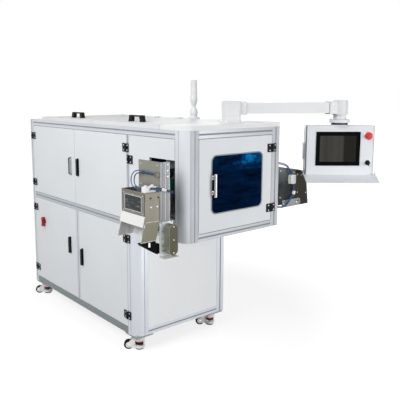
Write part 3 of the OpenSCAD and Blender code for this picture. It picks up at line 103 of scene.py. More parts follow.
def colour(code):
    """Linear colour of a hex code."""
    parts = [int(code[i:i + 2], 16) / 255 for i in (1, 3, 5)]
    linear = [c / 12.92 if c <= 0.04045 else ((c + 0.055) / 1.055) ** 2.4 for c in parts]
    return (*linear, 1.0)


def scaled(tone, factor):
    """A colour made darker or lighter."""
    return tuple(min(c * factor, 1.0) for c in tone[:3]) + (1.0,)


class Finish:
    """Nodes of a material or world; each method adds some and returns the socket for the next one."""

    def __init__(self, owner, output="OutputMaterial"):
        owner.use_nodes = True
        self.owner = owner
        self.tree = owner.node_tree
        self.tree.nodes.clear()
        self.output = self.tree.nodes.new("ShaderNode" + output)
        self.place = self.tree.nodes.new("ShaderNodeTexCoord").outputs["Object"]

    def feed(self, socket, value):
        if isinstance(value, bpy.types.NodeSocket):
            self.tree.links.new(value, socket)
        else:
            socket.default_value = value

    def joined(self, kind, values, out=0, **settings):
        """A node with its settings made and its inputs fed, by their names or places."""
        made = self.tree.nodes.new("ShaderNode" + kind)
        for name, value in settings.items():
            setattr(made, name, value)
        for key, value in values.items():
            self.feed(made.inputs[key], value)
        return made.outputs[out]

    def math(self, operation, first, second):
        return self.joined("Math", {0: first, 1: second}, operation=operation)

    def noise(self, scale, stretch=(1, 1, 1), detail=3.0, roughness=0.55):
        mapped = self.joined("Mapping", {"Vector": self.place, "Scale": stretch})
        values = {"Vector": mapped, "Scale": scale, "Detail": detail, "Roughness": roughness}
        return self.joined("TexNoise", values, "Fac")

    def ranged(self, value, from_low, from_high, low, high):
        limits = {"From Min": from_low, "From Max": from_high, "To Min": low, "To Max": high}
        return self.joined("MapRange", {"Value": value, **limits})

    def spread(self, value, low, high):
        """Maps a noise value's middle range to low..high."""
        return self.ranged(value, 0.3, 0.7, low, high)

    def blend(self, factor, first, second):
        values = {"Factor": factor, 6: first, 7: second}
        return self.joined("Mix", values, 2, data_type="RGBA")

    def varied(self, code, amount, scale):
        """A colour that drifts a little over the surface."""
        base = colour(code)
        drift = self.spread(self.noise(scale), 0.0, 1.0)
        return self.blend(drift, scaled(base, 1 - amount), scaled(base, 1 + amount))

    def edges(self, radius=0.0015):
        """Normals that round off the hard edges of the solids."""
        return self.joined("Bevel", {"Radius": radius}, samples=4)

    def edge_mask(self, radius=0.002):
        """One along the edges and zero on the faces."""
        flat = self.tree.nodes.new("ShaderNodeNewGeometry").outputs["True Normal"]
        values = {0: self.edges(radius), 1: flat}
        dot = self.joined("VectorMath", values, "Value", operation="DOT_PRODUCT")
        return self.ranged(dot, 0.99, 0.8, 0.0, 1.0)

    def bump(self, height, strength, distance=0.0005):
        values = {"Height": height, "Strength": strength, "Distance": distance, "Normal": self.edges()}
        return self.joined("Bump", values)

    def shader(self, **inputs):
        values = {name.replace("_", " "): value for name, value in inputs.items()}
        return self.joined("BsdfPrincipled", values)

    def along(self, axis):
        """A coordinate of the shared frame, in metres."""
        return self.joined("SeparateXYZ", {"Vector": self.place}, axis)

    def above(self, axis, limit):
        """One where a coordinate is above a limit."""
        return self.math("GREATER_THAN", self.along(axis), limit)

    def within(self, low, high):
        """One inside a box given by two points of the shared frame."""
        inside = None
        for axis in (X, Y, Z):
            slab = self.math("SUBTRACT", self.above(axis, low[axis]), self.above(axis, high[axis]))
            inside = slab if inside is None else self.math("MULTIPLY", inside, slab)
        return inside

    def choose(self, factor, first, second):
        return self.joined("MixShader", {0: factor, 1: first, 2: second})

    def done(self, shader):
        self.feed(self.output.inputs["Surface"], shader)
        return self.owner


def recipe(build):
    """Lets a builder take its values now and its finish later."""
    return lambda *args, **kwargs: lambda f: build(f, *args, **kwargs)


@recipe
def powder_coat(f, code, rough=0.42, specular=0.35):
    """Sprayed and baked paint with a fine orange-peel surface."""
    return f.shader(
        Base_Color=f.varied(code, 0.02, 2.2),
        Roughness=f.spread(f.noise(6.0), rough - 0.05, rough + 0.06),
        Specular_IOR_Level=specular,
        Normal=f.bump(f.noise(420.0, detail=2.0), 0.12),
    )


@recipe
def anodised(f, code, rough=0.36, metallic=0.55):
    """Satin anodised aluminium with an even, very fine grain."""
    grain = f.noise(700.0, detail=2.0)
    base = colour(code)
    return f.shader(
        Base_Color=f.blend(f.spread(grain, 0.0, 1.0), scaled(base, 0.97), scaled(base, 1.03)),
        Metallic=metallic,
        Roughness=f.spread(f.noise(9.0), rough - 0.04, rough + 0.05),
        Normal=f.bump(grain, 0.04, 0.0002),
    )


@recipe
def brushed(f, code, rough=0.28, stretch=(2, 2, 70), metallic=0.9):
    """Ground stainless sheet: short streaks, slow clouds of tone, and a painted highlight that makes the
    edges lighter.
    """
    streaks = f.noise(14.0, stretch, detail=6.0, roughness=0.7)
    base = colour(code)
    tone = f.blend(f.spread(streaks, 0.0, 1.0), scaled(base, 0.93), scaled(base, 1.05))
    cloudy = f.blend(f.spread(f.noise(5.0, detail=2.0), 0.0, 0.3), tone, scaled(base, 0.75))
    return f.shader(
        Base_Color=f.blend(f.edge_mask(), cloudy, scaled(base, 1.3)),
        Metallic=metallic,
        Roughness=f.spread(streaks, rough - 0.06, rough + 0.12),
        Normal=f.bump(streaks, 0.10, 0.0002),
    )


def sheet_grain(f):
    """Fine upright grain of rolled sheet."""
    return f.noise(60.0, (20, 20, 1), detail=2.0)


@recipe
def sheet_metal(f, code, contrast=0.12, rough=0.36, metallic=0.35):
    """Smooth stainless sheet with soft upright bands of painted reflection."""
    bands = f.noise(3.0, (10, 8, 0.3), detail=2.0)
    grain = sheet_grain(f)
    base = colour(code)
    tone = f.blend(f.spread(bands, 0.0, 1.0), scaled(base, 1 - contrast), scaled(base, 1 + contrast))
    return f.shader(
        Base_Color=f.blend(f.spread(grain, 0.0, 0.15), tone, scaled(base, 0.85)),
        Metallic=metallic,
        Roughness=f.spread(grain, rough - 0.04, rough + 0.06),
        Specular_IOR_Level=0.2,
        Normal=f.bump(grain, 0.03, 0.0002),
    )


@recipe
def height_shaded_sheet(f, low_code, high_code, low_z, high_z):
    """Dark sheet with painted shade that turns from one tone to another with height."""
    rise = f.ranged(f.along(Z), at(0, 0, low_z)[Z], at(0, 0, high_z)[Z], 0.0, 1.0)
    clouds = f.math("ADD", rise, f.spread(f.noise(12.0), -0.15, 0.15))
    grain = sheet_grain(f)
    return f.shader(
        Base_Color=f.blend(f.ranged(clouds, 0.0, 1.0, 0.0, 1.0), colour(low_code), colour(high_code)),
        Metallic=0.4,
        Roughness=f.spread(grain, 0.34, 0.44),
        Specular_IOR_Level=0.1,
        Normal=f.bump(grain, 0.03, 0.0002),
    )


@recipe
def moulded(f, code, rough=0.45, grain=300.0, specular=0.4):
    """Moulded plastic with a fine leather-like grain."""
    return f.shader(
        Base_Color=f.varied(code, 0.05, 30.0),
        Roughness=f.spread(f.noise(12.0), rough - 0.06, rough + 0.08),
        Specular_IOR_Level=specular,
        Normal=f.bump(f.noise(grain, detail=2.0), 0.15, 0.0003),
    )


@recipe
def black_cast(f):
    """Black enamel on castings, with a painted highlight that makes the edges a little brighter."""
    return f.shader(
        Base_Color=f.blend(f.edge_mask(0.003), f.varied("#0D0E10", 0.2, 25.0), colour("#34363A")),
        Roughness=f.spread(f.noise(40.0), 0.36, 0.52),
        Specular_IOR_Level=0.15,
        Normal=f.bump(f.noise(260.0), 0.2, 0.0003),
    )


SHEEN_EDGE = (-2, 6)


@recipe
def display_sheen(f, left_code, right_code):
    """Dark display glass with a painted reflection, paler on its left half, in soft upright bands."""
    middle = on_panel(SCREEN_X, 0, SCREEN_Z)[X]
    edge = [middle + x * MM for x in SHEEN_EDGE]
    half = f.ranged(f.along(X), *edge, 0.0, 1.0)
    bands = f.noise(3.0, (9, 0.1, 0.1), detail=2.0)
    left = colour(left_code)
    pale = f.blend(f.ranged(bands, 0.4, 0.6, 0.0, 1.0), scaled(left, 0.75), left)
    return f.shader(
        Base_Color=f.blend(half, pale, colour(right_code)),
        Roughness=f.spread(f.noise(50.0), 0.06, 0.11),
        Specular_IOR_Level=0.12,
        Normal=f.bump(f.noise(2.0), 0.02),
    )


PANE_SHEEN_X, PANE_SHEEN_Z = (330, 500), (1270, 1330)


@recipe
def tinted_acrylic(f):
    """Dark blue acrylic with faint level streaks and a painted reflection towards its upper right corner.
    """
    upper = f.ranged(f.along(Z), *[at(0, 0, z)[Z] for z in PANE_SHEEN_Z], 0.0, 1.0)
    side = f.ranged(f.along(X), *[at(x, 0, 0)[X] for x in PANE_SHEEN_X], 0.15, 1.0)
    clouds = f.ranged(f.noise(9.0, (1, 1, 2.2)), 0.42, 0.6, 0.0, 1.0)
    streaks = f.spread(f.noise(14.0, (0.5, 1, 2.4), detail=5.0), 0.0, 1.0)
    deep = f.blend(streaks, colour("#020B1E"), colour("#05264E"))
    sheen = f.math("MULTIPLY", f.math("MULTIPLY", clouds, upper), side)
    return f.shader(
        Base_Color=f.blend(sheen, deep, colour("#0968A8")),
        Roughness=f.spread(f.noise(60.0), 0.03, 0.06),
        Specular_IOR_Level=0.03,
        Transmission_Weight=0.3,
        IOR=1.05,
        Normal=f.bump(f.noise(2.0), 0.02),
    )


@recipe
def streaked_glass(f, dark, light):
    """Scratched, dusty pane of a sight window."""
    dust = f.noise(26.0, (1, 0.5, 2.4), detail=4.0)
    return f.shader(
        Base_Color=f.blend(f.ranged(dust, 0.5, 0.72, 0.0, 1.0), colour(dark), colour(light)),
        Roughness=f.spread(dust, 0.14, 0.3),
        Specular_IOR_Level=0.1,
        Normal=f.bump(f.noise(2.0), 0.02),
    )


FINISH = {}


def coat(name, base, **patches):
    """A base finish, and other finishes inside boxes: a patch is a box's two corners and a recipe."""
    f = Finish(bpy.data.materials.new(name))
    total = base(f)
    for low, high, build in patches.values():
        total = f.choose(f.within(low, high), total, build(f))
    FINISH[name] = f.done(total)


# Pull handles of the doors: y, z, and the span and tone of the strip with a painted highlight
PULL_HIGHLIGHT = "#8A9096"
PULLS = {
    "upper_rear_door": (1395, 1200, (-15, -9), "#C0C4C8"),
    "upper_front_door": (1280, 1200, (4, 14), PULL_HIGHLIGHT),
    "lower_rear_door": (1436, 560, (9.6, 14), PULL_HIGHLIGHT),
    "lower_front_door": (1246, 503, (9.6, 14), PULL_HIGHLIGHT),
}
PULL_HALF_L, PULL_REACH = 70, 60

PLAIN = {
    "door_paint": powder_coat("#E6E9EC"),
    # Fixed panels are painted lighter than the doors: painted light
    "panel_paint_painted_light": powder_coat("#F8FAFB"),
    "cover_paint": powder_coat("#F1F2F3", 0.5, specular=0.06),
    "lid_paint": powder_coat("#E6E7E8", 0.5, specular=0.06),
    "arm_paint": powder_coat("#DBDCDE", 0.35),
    "black_castings": black_cast(),
    "bright_stainless": brushed("#C4C3BF", 0.24, stretch=(70, 2, 2)),
    "level_stainless": brushed("#B5B1A8", 0.3, stretch=(60, 2, 2)),
    "sight_frame": brushed("#807F79", 0.34, stretch=(3, 40, 3)),
    "zinc_plated": brushed("#D2D4D6", 0.25, stretch=(8, 8, 8)),
    "black_rubber": moulded("#0D0D0E", 0.6, grain=500.0, specular=0.12),
    "black_plastic": moulded("#0E0F11", 0.42, specular=0.18),
    "screen_black": moulded("#040607", 0.5, specular=0.03),
    "white_plastic": moulded("#EFEFEC", 0.38),
    "red_plastic": moulded("#D2282A", 0.28),
    "isolator_red": moulded("#A91A1C", 0.35),
    "dial_red": moulded("#C2262A", 0.35),
    "blue_tube": moulded("#0F64A4", 0.2, grain=800.0),
    "navy_tube": moulded("#0A1B45", 0.2, grain=800.0),
    "plate_grey": powder_coat("#9BA0A6", 0.4),
    "grip_grey": moulded("#BDC0C4", 0.4),
    "machine_enamel": powder_coat("#2E5F8C", 0.4),
    "tinted_acrylic": tinted_acrylic(),
    "display_glass": display_sheen("#403E3A", "#1B1913"),
    "sight_glass": streaked_glass("#343C3D", "#747A78"),
    "tower_white": moulded("#DEE0E2", 0.34),
    # Grey covers deep in the bars' slots, which also stand in for the shade in the slots
    "slot_covers": moulded("#8E959A", 0.5),
    "green_guard": moulded("#06625A", 0.4, specular=0.1),
    "bucket_black": moulded("#050506", 0.5, grain=400.0, specular=0.05),
}
for name, base in PLAIN.items():
    coat(name, base)

# Painted light and shade on the bars: the round post is painted lighter where a shadow falls on it and
# darker on its front, and the front bars, floor rails and transoms are painted darker
coat(
    "anodised_bars", anodised("#CFD3D9"),
    round_post=(at(-5, -5, 860), at(100.4, 100.4, 1540), anodised("#DADEE3", 0.6, metallic=0.2)),
    round_post_front=(at(38, -5, 860), at(100.4, 100.4, 1540),
                      anodised("#B6BABF", 0.6, metallic=0.2)),
    front_bars=(at(100.5, -5, 860), from_right(5, 70.5, 1540), anodised("#B0B3B8")),
    floor_rails=(at(-5, 622, 90), from_right(5, 2058, 143.5), anodised("#7C8587", 0.4)),
    transoms=(at(-5, 100, 864.5), from_right(5, 2058, 910.5), anodised("#B3B9BE")),
)
coat(
    "dial_and_pad", moulded("#101011", 0.6, grain=400.0, specular=0.15),
    caster_dials=(at(-200, 0, 28), at(1000, 2200, 45), moulded("#B9272B", 0.35)),
)
coat(
    "panel_and_seal", powder_coat("#DFE2E6", 0.36),
    neck_seal=(at(900, -600, 1544.2), at(1500, 200, 1557.8), moulded("#141415", 0.55)),
    # The panel's left side is painted darker: painted shade
    panel_left=(on_panel(-PANEL_HALF, PANEL_FRONT, PANEL_Z), on_panel(-PANEL_HALF, -PANEL_FRONT, PANEL_TOP),
                powder_coat("#A6A9AD", 0.4)),
)
coat(
    "cameras_and_lights", moulded("#17181B", 0.4),
    camera_lights=(at(0, 240, 1280), from_right(0, 300, 1400), moulded("#D9DEE2", 0.3)),
)
coat(
    "bar_and_hinges", brushed("#A9A8A2", 0.2, stretch=(2, 2, 40)),
    window_hinges=(at(600, -60, 900), from_right(0, 60, 1500), black_cast()),
)
coat(
    "modules_and_plate", moulded("#5B6067", 0.45),
    control_plate=(from_right(-64.5, 0, 0), from_right(0, CABINET_L, 900),
                   brushed("#C9CCCF", 0.3, stretch=(8, 8, 8))),
)
coat(
    "hopper_stainless", sheet_metal("#807C71"),
    spout_front=(at(-330, -10, 900), at(-180, 4, 1038), sheet_metal("#757463", 0.06)),
    # The spout's sides under the awning are painted near white: painted light in their shade
    spout_sides=(at(-330, 4, 900), at(-180, 300, 1066),
                 sheet_metal("#F0F1F0", 0.15, rough=0.4, metallic=0.05)),
    awning=(at(-340, -10, 1012), at(-291.6, 300, 1076), powder_coat("#E8E8E7")),
    # The right hopper's front is painted dark, with painted shade that lightens with height
    right_hopper_front=(from_right(0, -10, 900), at(1300, 6, 1300),
                        height_shaded_sheet("#2A261F", "#3B372F", low_z=1000, high_z=1220)),
    right_hopper_sides=(from_right(0, 6, 900), at(1300, 300, 1300), sheet_metal("#868887")),
)
coat(
    "bracket_stainless", sheet_metal("#84868A", 0.2, rough=0.3),
    back_plate=(at(-200, 3.2, 1200), at(-185, 300, 1400), sheet_metal("#8D8D82", 0.05)),
    # The right bracket is painted dark, with painted shade that lightens with height
    right_bracket=(from_right(0, -10, 900), at(1300, 300, 1300),
                   height_shaded_sheet("#282A2B", "#686F6F", low_z=1130, high_z=1250)),
    right_strip=(from_right(0, -10, 970), at(1300, -0.2, 1032.4), sheet_metal("#8A8D8B", 0.25)),
)
coat(
    # The belt guard's sides are painted lighter and its front face darker: painted light and painted shade
    "guard_stainless", brushed("#A3A493", 0.3, stretch=(3, 3, 60)),
    belt_guard_front=(at(-300, -60, 800), at(0, -52.4, 1100), sheet_metal("#504E3B", 0.06)),
    drive_plate=(at(-300, -1.5, 800), at(0, 20, 1100), sheet_metal("#CDD2D6", 0.1)),
    drive_foot=(at(-300, -60, 800), at(0, 20, 832.5), sheet_metal("#C9CAC8", 0.06)),
)
coat(
    "push_in_fittings", moulded("#F2F2F0", 0.38),
    bulkhead=(at(-215, 0, 1280), at(-185, 40, 1330), sheet_metal("#66665C", 0.05)),
    inner_fittings=(from_right(-70, 60, 980), from_right(-20, 120, 1320),
                    moulded("#1A1C20", specular=0.15)),
)


def wear(finish, *names):
    """Gives a finish to CAD nodes."""
    for name in names:
        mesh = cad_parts[name].data
        mesh.materials.clear()
        mesh.materials.append(FINISH[finish])


for finish, names in {
    "anodised_bars": "frame", "panel_paint_painted_light": "fixed_panels", "cover_paint": "top_covers",
    "black_castings": "hinge_frame_leaves outlet_door_hinges front_lid_handle rear_lid_handle",
    "level_stainless": "storage_hopper feeder_tray drop_chutes outlet_gate_left outlet_gate_right",
    "tower_white": "tower_light", "machine_enamel": "feeder_drives", "cameras_and_lights": "vision_units",
    "modules_and_plate": "control_panel", "hopper_stainless": "outlet_hoppers",
    "sight_frame": "outlet_window", "bracket_stainless": "outlet_brackets",
    "push_in_fittings": "push_fittings", "blue_tube": "air_tubes_left air_tubes_right",
    "guard_stainless": "bucket_drive", "bucket_black": "swing_bucket", "isolator_red": "isolator_handle",
    "black_plastic": "outlet_actuators rear_inlets key_switch", "red_plastic": "stop_button",
    "door_paint": "outlet_door window_door", "lid_paint": "front_lid rear_lid",
    "tinted_acrylic": "window_pane", "bar_and_hinges": "window_door_fittings",
    "arm_paint": "arm_base panel_arm", "panel_and_seal": "panel_box", "screen_black": "panel_screen",
    "plate_grey": "caster_plates",
}.items():
    wear(finish, *names.split())
for corner in CORNERS:
    wear("white_plastic", "caster_body_" + corner)
    wear("black_rubber", "caster_wheel_" + corner)
    wear("dial_and_pad", "caster_foot_" + corner)

# Doors, and their black castings with a painted highlight on a strip along the pull handle
for door, (y, z, (near, far), tone) in PULLS.items():
    low = at(-PULL_REACH, y + near, z - PULL_HALF_L)
    high = at(0, y + far, z + PULL_HALF_L)
    coat(door + "_castings", black_cast(), strip=(low, high, moulded(tone, 0.3)))
    wear("door_paint", door)
    wear(door + "_castings", door + "_fittings")


# Camera

camera_data = bpy.data.cameras.new("camera")
camera_data.lens = 49.57
camera_data.sensor_width = 36
camera_data.shift_x = 0.0518
camera_data.shift_y = -0.057
camera_data.clip_end = 100
camera = bpy.data.objects.new("camera", camera_data)
camera.location = at(-2028, -2432, 1744.5)
camera.rotation_euler = (math.radians(81.51), 0, math.radians(-39.14))
bpy.context.scene.collection.objects.link(camera)
bpy.context.scene.camera = camera


# Paired air tubes, on the routes of the CAD solids

TUBE_D = 6
TUBE_GAP = 4
WIDE_FROM_Y = 120
WIDENING = 0.05
LEFT_AXIS = Vector((1, 1, 0))
LEFT_ROUTE = [
    (30, 115, 1165), (0, 112, 1163), (-40, 80, 1172), (-78, 32, 1186), (-104, -6, 1195), (-130, -14, 1204),
    (-155, -14, 1212), (-185, -13, 1220), (-215, -9, 1226), (-246, 5, 1229), (-260, 37, 1226),
    (-257, 75, 1220), (-248, 120, 1217), (-238, 160, 1217), (-230, 190, 1220), (-223, 217, 1233),
    (-217, 228, 1261), (-211, 216, 1290), (-205, 187, 1303),
    (-201, 140, 1304), (-200, 95, 1304), (-200, 50, 1303), (-200, 22, 1302),
]
RIGHT_AXIS = Vector((0, 1, 0))
RIGHT_ROUTE = [
    (-30, 88, 1290), (0, 82, 1290), (30, 55, 1286), (54, 24, 1281), (72, -6, 1270), (88, -14, 1248),
    (105, -15, 1218), (122, -14, 1190), (138, -14, 1158), (151, -14, 1122), (154, -14, 1088),
    (143, -14, 1060), (117, -14, 1036), (88, -15, 1014), (66, -17, 1001), (50, -17, 993), (27, -7, 987),
    (16, 19, 986), (14, 50, 990), (6, 78, 1004), (-8, 92, 1010), (-30, 96, 1011),
]


def smooth_route(points, steps=5):
    """Points on a Catmull-Rom curve through the route."""
    last = len(points) - 1
    path = []
    for i in range(last):
        a, b = points[max(i - 1, 0)], points[i]
        c, d = points[i + 1], points[min(i + 2, last)]
        for k in range(steps):
            s = k / steps
            bend = (2 * a - 5 * b + 4 * c - d) * s * s
            path.append(0.5 * (2 * b + (c - a) * s + bend + (3 * b - a - 3 * c + d) * s ** 3))
    path.append(points[-1])
    return path


def beside(route, axis, side):
    """A route set off to one side, square to an axis, and further where the loop is wide."""
    points = [Vector(point) for point in route]
    moved = []
    for i, point in enumerate(points):
        run = points[min(i + 1, len(points) - 1)] - points[max(i - 1, 0)]
        gap = TUBE_GAP + max(0, point.y - WIDE_FROM_Y) * WIDENING
        moved.append(point + side * gap * run.cross(axis).normalized())
    return moved


def air_tube(name, path, finish, node):
    curve = bpy.data.curves.new(name, "CURVE")
    curve.dimensions = "3D"
    curve.bevel_depth = TUBE_D / 2 * MM
    curve.bevel_resolution = 4
    curve.use_fill_caps = True
    spline = curve.splines.new("POLY")
    spline.points.add(len(path) - 1)
    for target, point in zip(spline.points, path):
        target.co = (*point, 1)
    curve.materials.append(FINISH[finish])
    made = bpy.data.objects.new(name, curve)
    bpy.context.scene.collection.objects.link(made)
    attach(made, "cabinet")
    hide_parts(node)


for tone, place, route, axis, side, shift in (
    ("blue", "left", LEFT_ROUTE, LEFT_AXIS, 1, 0),
    ("navy", "left", LEFT_ROUTE, LEFT_AXIS, -1, 0),
    ("blue", "right", RIGHT_ROUTE, RIGHT_AXIS, -1, CABINET_W),
    ("navy", "right", RIGHT_ROUTE, RIGHT_AXIS, 1, CABINET_W),
):
    path = smooth_route([at(x + shift, y, z) for x, y, z in beside(route, axis, side)])
    air_tube("air_tube_%s_%s" % (tone, place), path, tone + "_tube", "air_tubes_" + place)


# Mesh helpers for the small pieces; lengths in millimetres, points and matrices in metres


def facing(origin, out, up=UP):
    """Matrix whose z points out of a face and whose y points up along it."""
    out = Vector(out).normalized()
    up = (Vector(up) - out * out.dot(Vector(up))).normalized()
    turn = Matrix((up.cross(out), up, out)).transposed().to_4x4()
    return Matrix.Translation(origin) @ turn


def axis_frame(origin, axis):
    """Matrix that takes z to the axis and the zero point to the origin."""
    return Matrix.Translation(origin) @ Vector(axis).to_track_quat("Z", "Y").to_matrix().to_4x4()


def bridge(bm, low, high):
    """Quads between two rings of the same length, or triangles to a single point."""
    count = max(len(low), len(high))
    for k in range(count):
        n = (k + 1) % count
        if len(low) == 1:
            bm.faces.new((low[0], high[n], high[k]))
        elif len(high) == 1:
            bm.faces.new((low[k], low[n], high[0]))
        else:
            bm.faces.new((low[k], low[n], high[n], high[k]))


def skin(bm, rings, closed=False, capped=False):
    """Faces between rings in a row, back to the first one or with both ends filled where asked."""
    for low, high in zip(rings, rings[1:] + (rings[:1] if closed else [])):
        bridge(bm, low, high)
    if capped:
        bm.faces.new(rings[0])
        bm.faces.new(rings[-1])


def lathe(bm, profile, origin, axis, sides=24, closed=False, tooth=0.0):
    """Turns a profile of (radius, height) about an axis; radius 0 closes an end, and a tooth adds ribs."""
    place = axis_frame(origin, axis)
    rings = []
    for radius, height in profile:
        circle = []
        for k in range(sides if radius else 1):
            a = 2 * math.pi * k / sides
            r = (radius + tooth * (k % 2)) * MM if radius else 0
            circle.append(bm.verts.new(place @ Vector((r * math.cos(a), r * math.sin(a), height * MM))))
        rings.append(circle)
    skin(bm, rings, closed)


def screw(bm, origin, axis, r=4.5, h=3.2):
    """Button-head screw with a socket."""
    lathe(bm, [
        (r, -0.6), (r, h * 0.5), (r * 0.82, h * 0.9), (r * 0.5, h), (r * 0.46, h * 0.4), (0, h * 0.36),
    ], origin, axis, 18)


def hex_bolt(bm, origin, axis, r=6.5, h=4.5):
    """Hexagon head on a washer."""
    lathe(bm, [(r * 1.35, -0.5), (r * 1.35, 0.9), (r * 1.2, 1.3), (0, 1.3)], origin, axis, 20)
    lathe(bm, [(r, 1.0), (r, 1.3 + h * 0.8), (r * 0.86, 1.3 + h), (0, 1.3 + h)], origin, axis, 6)


def ring(bm, origin, axis, inner, outer, h, sides=32, tooth=0.0):
    """Flat ring with a chamfered outer edge."""
    c = min(0.4 * h, 0.4 * (outer - inner))
    lathe(bm, [(inner, -0.3), (outer, -0.3), (outer, h - c), (outer - c, h), (inner, h)],
          origin, axis, sides, True, tooth)


def cap(bm, origin, axis, r, h, sides=28):
    """Low round cap with a soft edge."""
    profile = [(r, -0.4), (r, h * 0.55), (r * 0.93, h * 0.88), (r * 0.8, h), (0, h)]
    lathe(bm, profile, origin, axis, sides)


def rounded_outline(w, h, r, inset=0.0, arc=5):
    """Points of a rectangle with round corners, centred, drawn in by an inset."""
    r = max(r - inset, 0.2)
    half = (w / 2 - inset - r, h / 2 - inset - r)
    points = []
    for quarter, (sx, sy) in enumerate(((1, 1), (-1, 1), (-1, -1), (1, -1))):
        for k in range(arc + 1):
            a = math.pi / 2 * (quarter + k / arc)
            points.append((sx * half[0] + r * math.cos(a), sy * half[1] + r * math.sin(a)))
    return points


def outline_ring(bm, place, points, height):
    return [bm.verts.new(place @ Vector((u * MM, v * MM, height * MM))) for u, v in points]


def outline_path(place, w, h, r, arc=5):
    """Points round a rectangle with round corners that lies on a face."""
    return [place @ Vector((u * MM, v * MM, 0)) for u, v in rounded_outline(w, h, r, arc=arc)]


def plate(bm, place, w, h, r, thick, chamfer=0.5):
    """Flat plate with round corners and a chamfered edge."""
    rings = [
        outline_ring(bm, place, rounded_outline(w, h, r), -0.3),
        outline_ring(bm, place, rounded_outline(w, h, r), thick - chamfer),
        outline_ring(bm, place, rounded_outline(w, h, r, chamfer), thick),
    ]
    skin(bm, rings, capped=True)


def border(bm, place, w, h, r, width, thick, chamfer=0.6):
    """Frame of a given width round a rectangle with round corners."""
    edge = thick - chamfer
    outer = ((0, -0.3), (0, edge), (chamfer, thick))
    inner = ((width - chamfer, thick), (width, edge), (width, -0.3))
    rings = [
        outline_ring(bm, place, rounded_outline(w, h, r, inset), height) for inset, height in outer + inner
    ]
    skin(bm, rings, closed=True)


def bead(bm, path, radius, side, closed=False, sides=8):
    """Round bead along a path; side is any direction that the path doesn't run along."""
    count = len(path)
    rings = []
    for i, point in enumerate(path):
        ahead = path[(i + 1) % count] if closed or i + 1 < count else path[i]
        behind = path[i - 1] if closed or i > 0 else path[i]
        run = (ahead - behind).normalized()
        across = run.cross(Vector(side)).normalized()
        lift = across.cross(run)
        rings.append([
            bm.verts.new(point + radius * MM * (math.cos(a) * across + math.sin(a) * lift))
            for a in (2 * math.pi * k / sides for k in range(sides))
        ])
    skin(bm, rings, closed, capped=not closed)


def extrude_section(bm, section, start, end, out):
    """Runs a section of (across, out) points straight from start to end."""
    run = (end - start).normalized()
    across = run.cross(Vector(out)).normalized()
    rings = []
    for point in (start, end):
        rings.append([bm.verts.new(point + (u * across + v * Vector(out)) * MM) for u, v in section])
    skin(bm, rings, capped=True)


# Small pieces, gathered by kind and body

KINDS = {
    "black_screws": ("black_castings", "black_cast"),
    "steel_screws": ("zinc_plated", "stainless"),
    "window_seal": ("plate_grey", "caster_wheel"),
    "steel_hems": ("bright_stainless", "stainless"),
    "dark_hems": ("sight_frame", "sight_frame"),
    "bright_trim": ("zinc_plated", "silver"),
    "white_trim": ("arm_paint", "arm_paint"),
    "black_trim": ("black_plastic", "gland"),
    "side_grip": ("grip_grey", "arm_paint"),
    "screen_trim": ("screen_black", "screen"),
    "display_glass": ("display_glass", "screen"),
    "sight_glass": ("sight_glass", "sight_frame"),
    "slot_covers": ("slot_covers", "bars"),
    "knurled_rings": ("dial_red", "caster_foot"),
    "fitting_rings": ("blue_tube", "air_tube"),
    "outlet_strips": ("hopper_stainless", "stainless"),
    "chute_guard": ("green_guard", "control"),
}
SMOOTH_BELOW = math.radians(35)
meshes = {}


def on(kind, body="cabinet"):
    """The mesh that gathers one kind of small piece on one body."""
    if (kind, body) not in meshes:
        meshes[kind, body] = bmesh.new()
    return meshes[kind, body]


def finish_pieces():
    for (kind, body), bm in meshes.items():
        finish, slot = KINDS[kind]
        name = kind + "_" + body
        bmesh.ops.recalc_face_normals(bm, faces=bm.faces)
        mesh = bpy.data.meshes.new(name)
        bm.to_mesh(mesh)
        bm.free()
        for face in mesh.polygons:
            face.use_smooth = True
        mesh.set_sharp_from_angle(angle=SMOOTH_BELOW)
        mesh.materials.append(FINISH[finish])
        made = bpy.data.objects.new(name, mesh)
        bpy.context.scene.collection.objects.link(made)
        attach(made, body)


# Outer faces of the cabinet: points by length along the face, height, and distance off it


def left_face(y, z, off=0):
    return at(-off, y, z)


def front_face(x, z, off=0):
    return at(x, -off, z)


def low_front_face(x, z):
    return at(x, OVERHANG, z)


def right_face(y, z, off=0):
    return from_right(off, y, z)


def back_face(x, z, off=0):
    return at(x, CABINET_L + off, z)


# Hinges: body, place of the pin, levels, side of the door, and middle of the frame's leaf
UPPER_LEVELS = (998, 1400)
LOWER_LEVELS = (231, 777)
HINGE_T, HINGE_H, HINGE_SCREW = 5, 56, 16
PIN_OUT = 7
DOOR_LEAF, NARROW_LEAF, WIDE_LEAF = 25.75, 15.75, 22.75
HINGES = (
    ("outlet_door", 586.5, (1070, 1324), -1, NARROW_LEAF),
    ("upper_front_door", 614.5, UPPER_LEVELS, 1, NARROW_LEAF),
    ("upper_rear_door", 2056.5, UPPER_LEVELS, -1, WIDE_LEAF),
    ("lower_front_door", 623.5, LOWER_LEVELS, 1, WIDE_LEAF),
    ("lower_rear_door", 2056.5, LOWER_LEVELS, -1, WIDE_LEAF),
)
WINDOW_PIN_X = 742.5


def pin_head(bm, origin, axis):
    lathe(bm, [(3.6, -0.2), (3.6, 0.8), (2.6, 1.6), (0, 1.9)], origin, axis, 16)


def dress_hinge(body, face, out, pin, z, side, frame_leaf):
    """Screws in both leaves of a hinge, and the ends of its pin."""
    for dz in both(HINGE_SCREW):
        screw(on("steel_screws", body), face(pin + side * DOOR_LEAF, z + dz, HINGE_T), out)
        screw(on("steel_screws"), face(pin - side * frame_leaf, z + dz, HINGE_T), out)
    for axis in (UP, DOWN):
        pin_head(on("steel_screws"), face(pin, z + axis.z * HINGE_H / 2, PIN_OUT), axis)


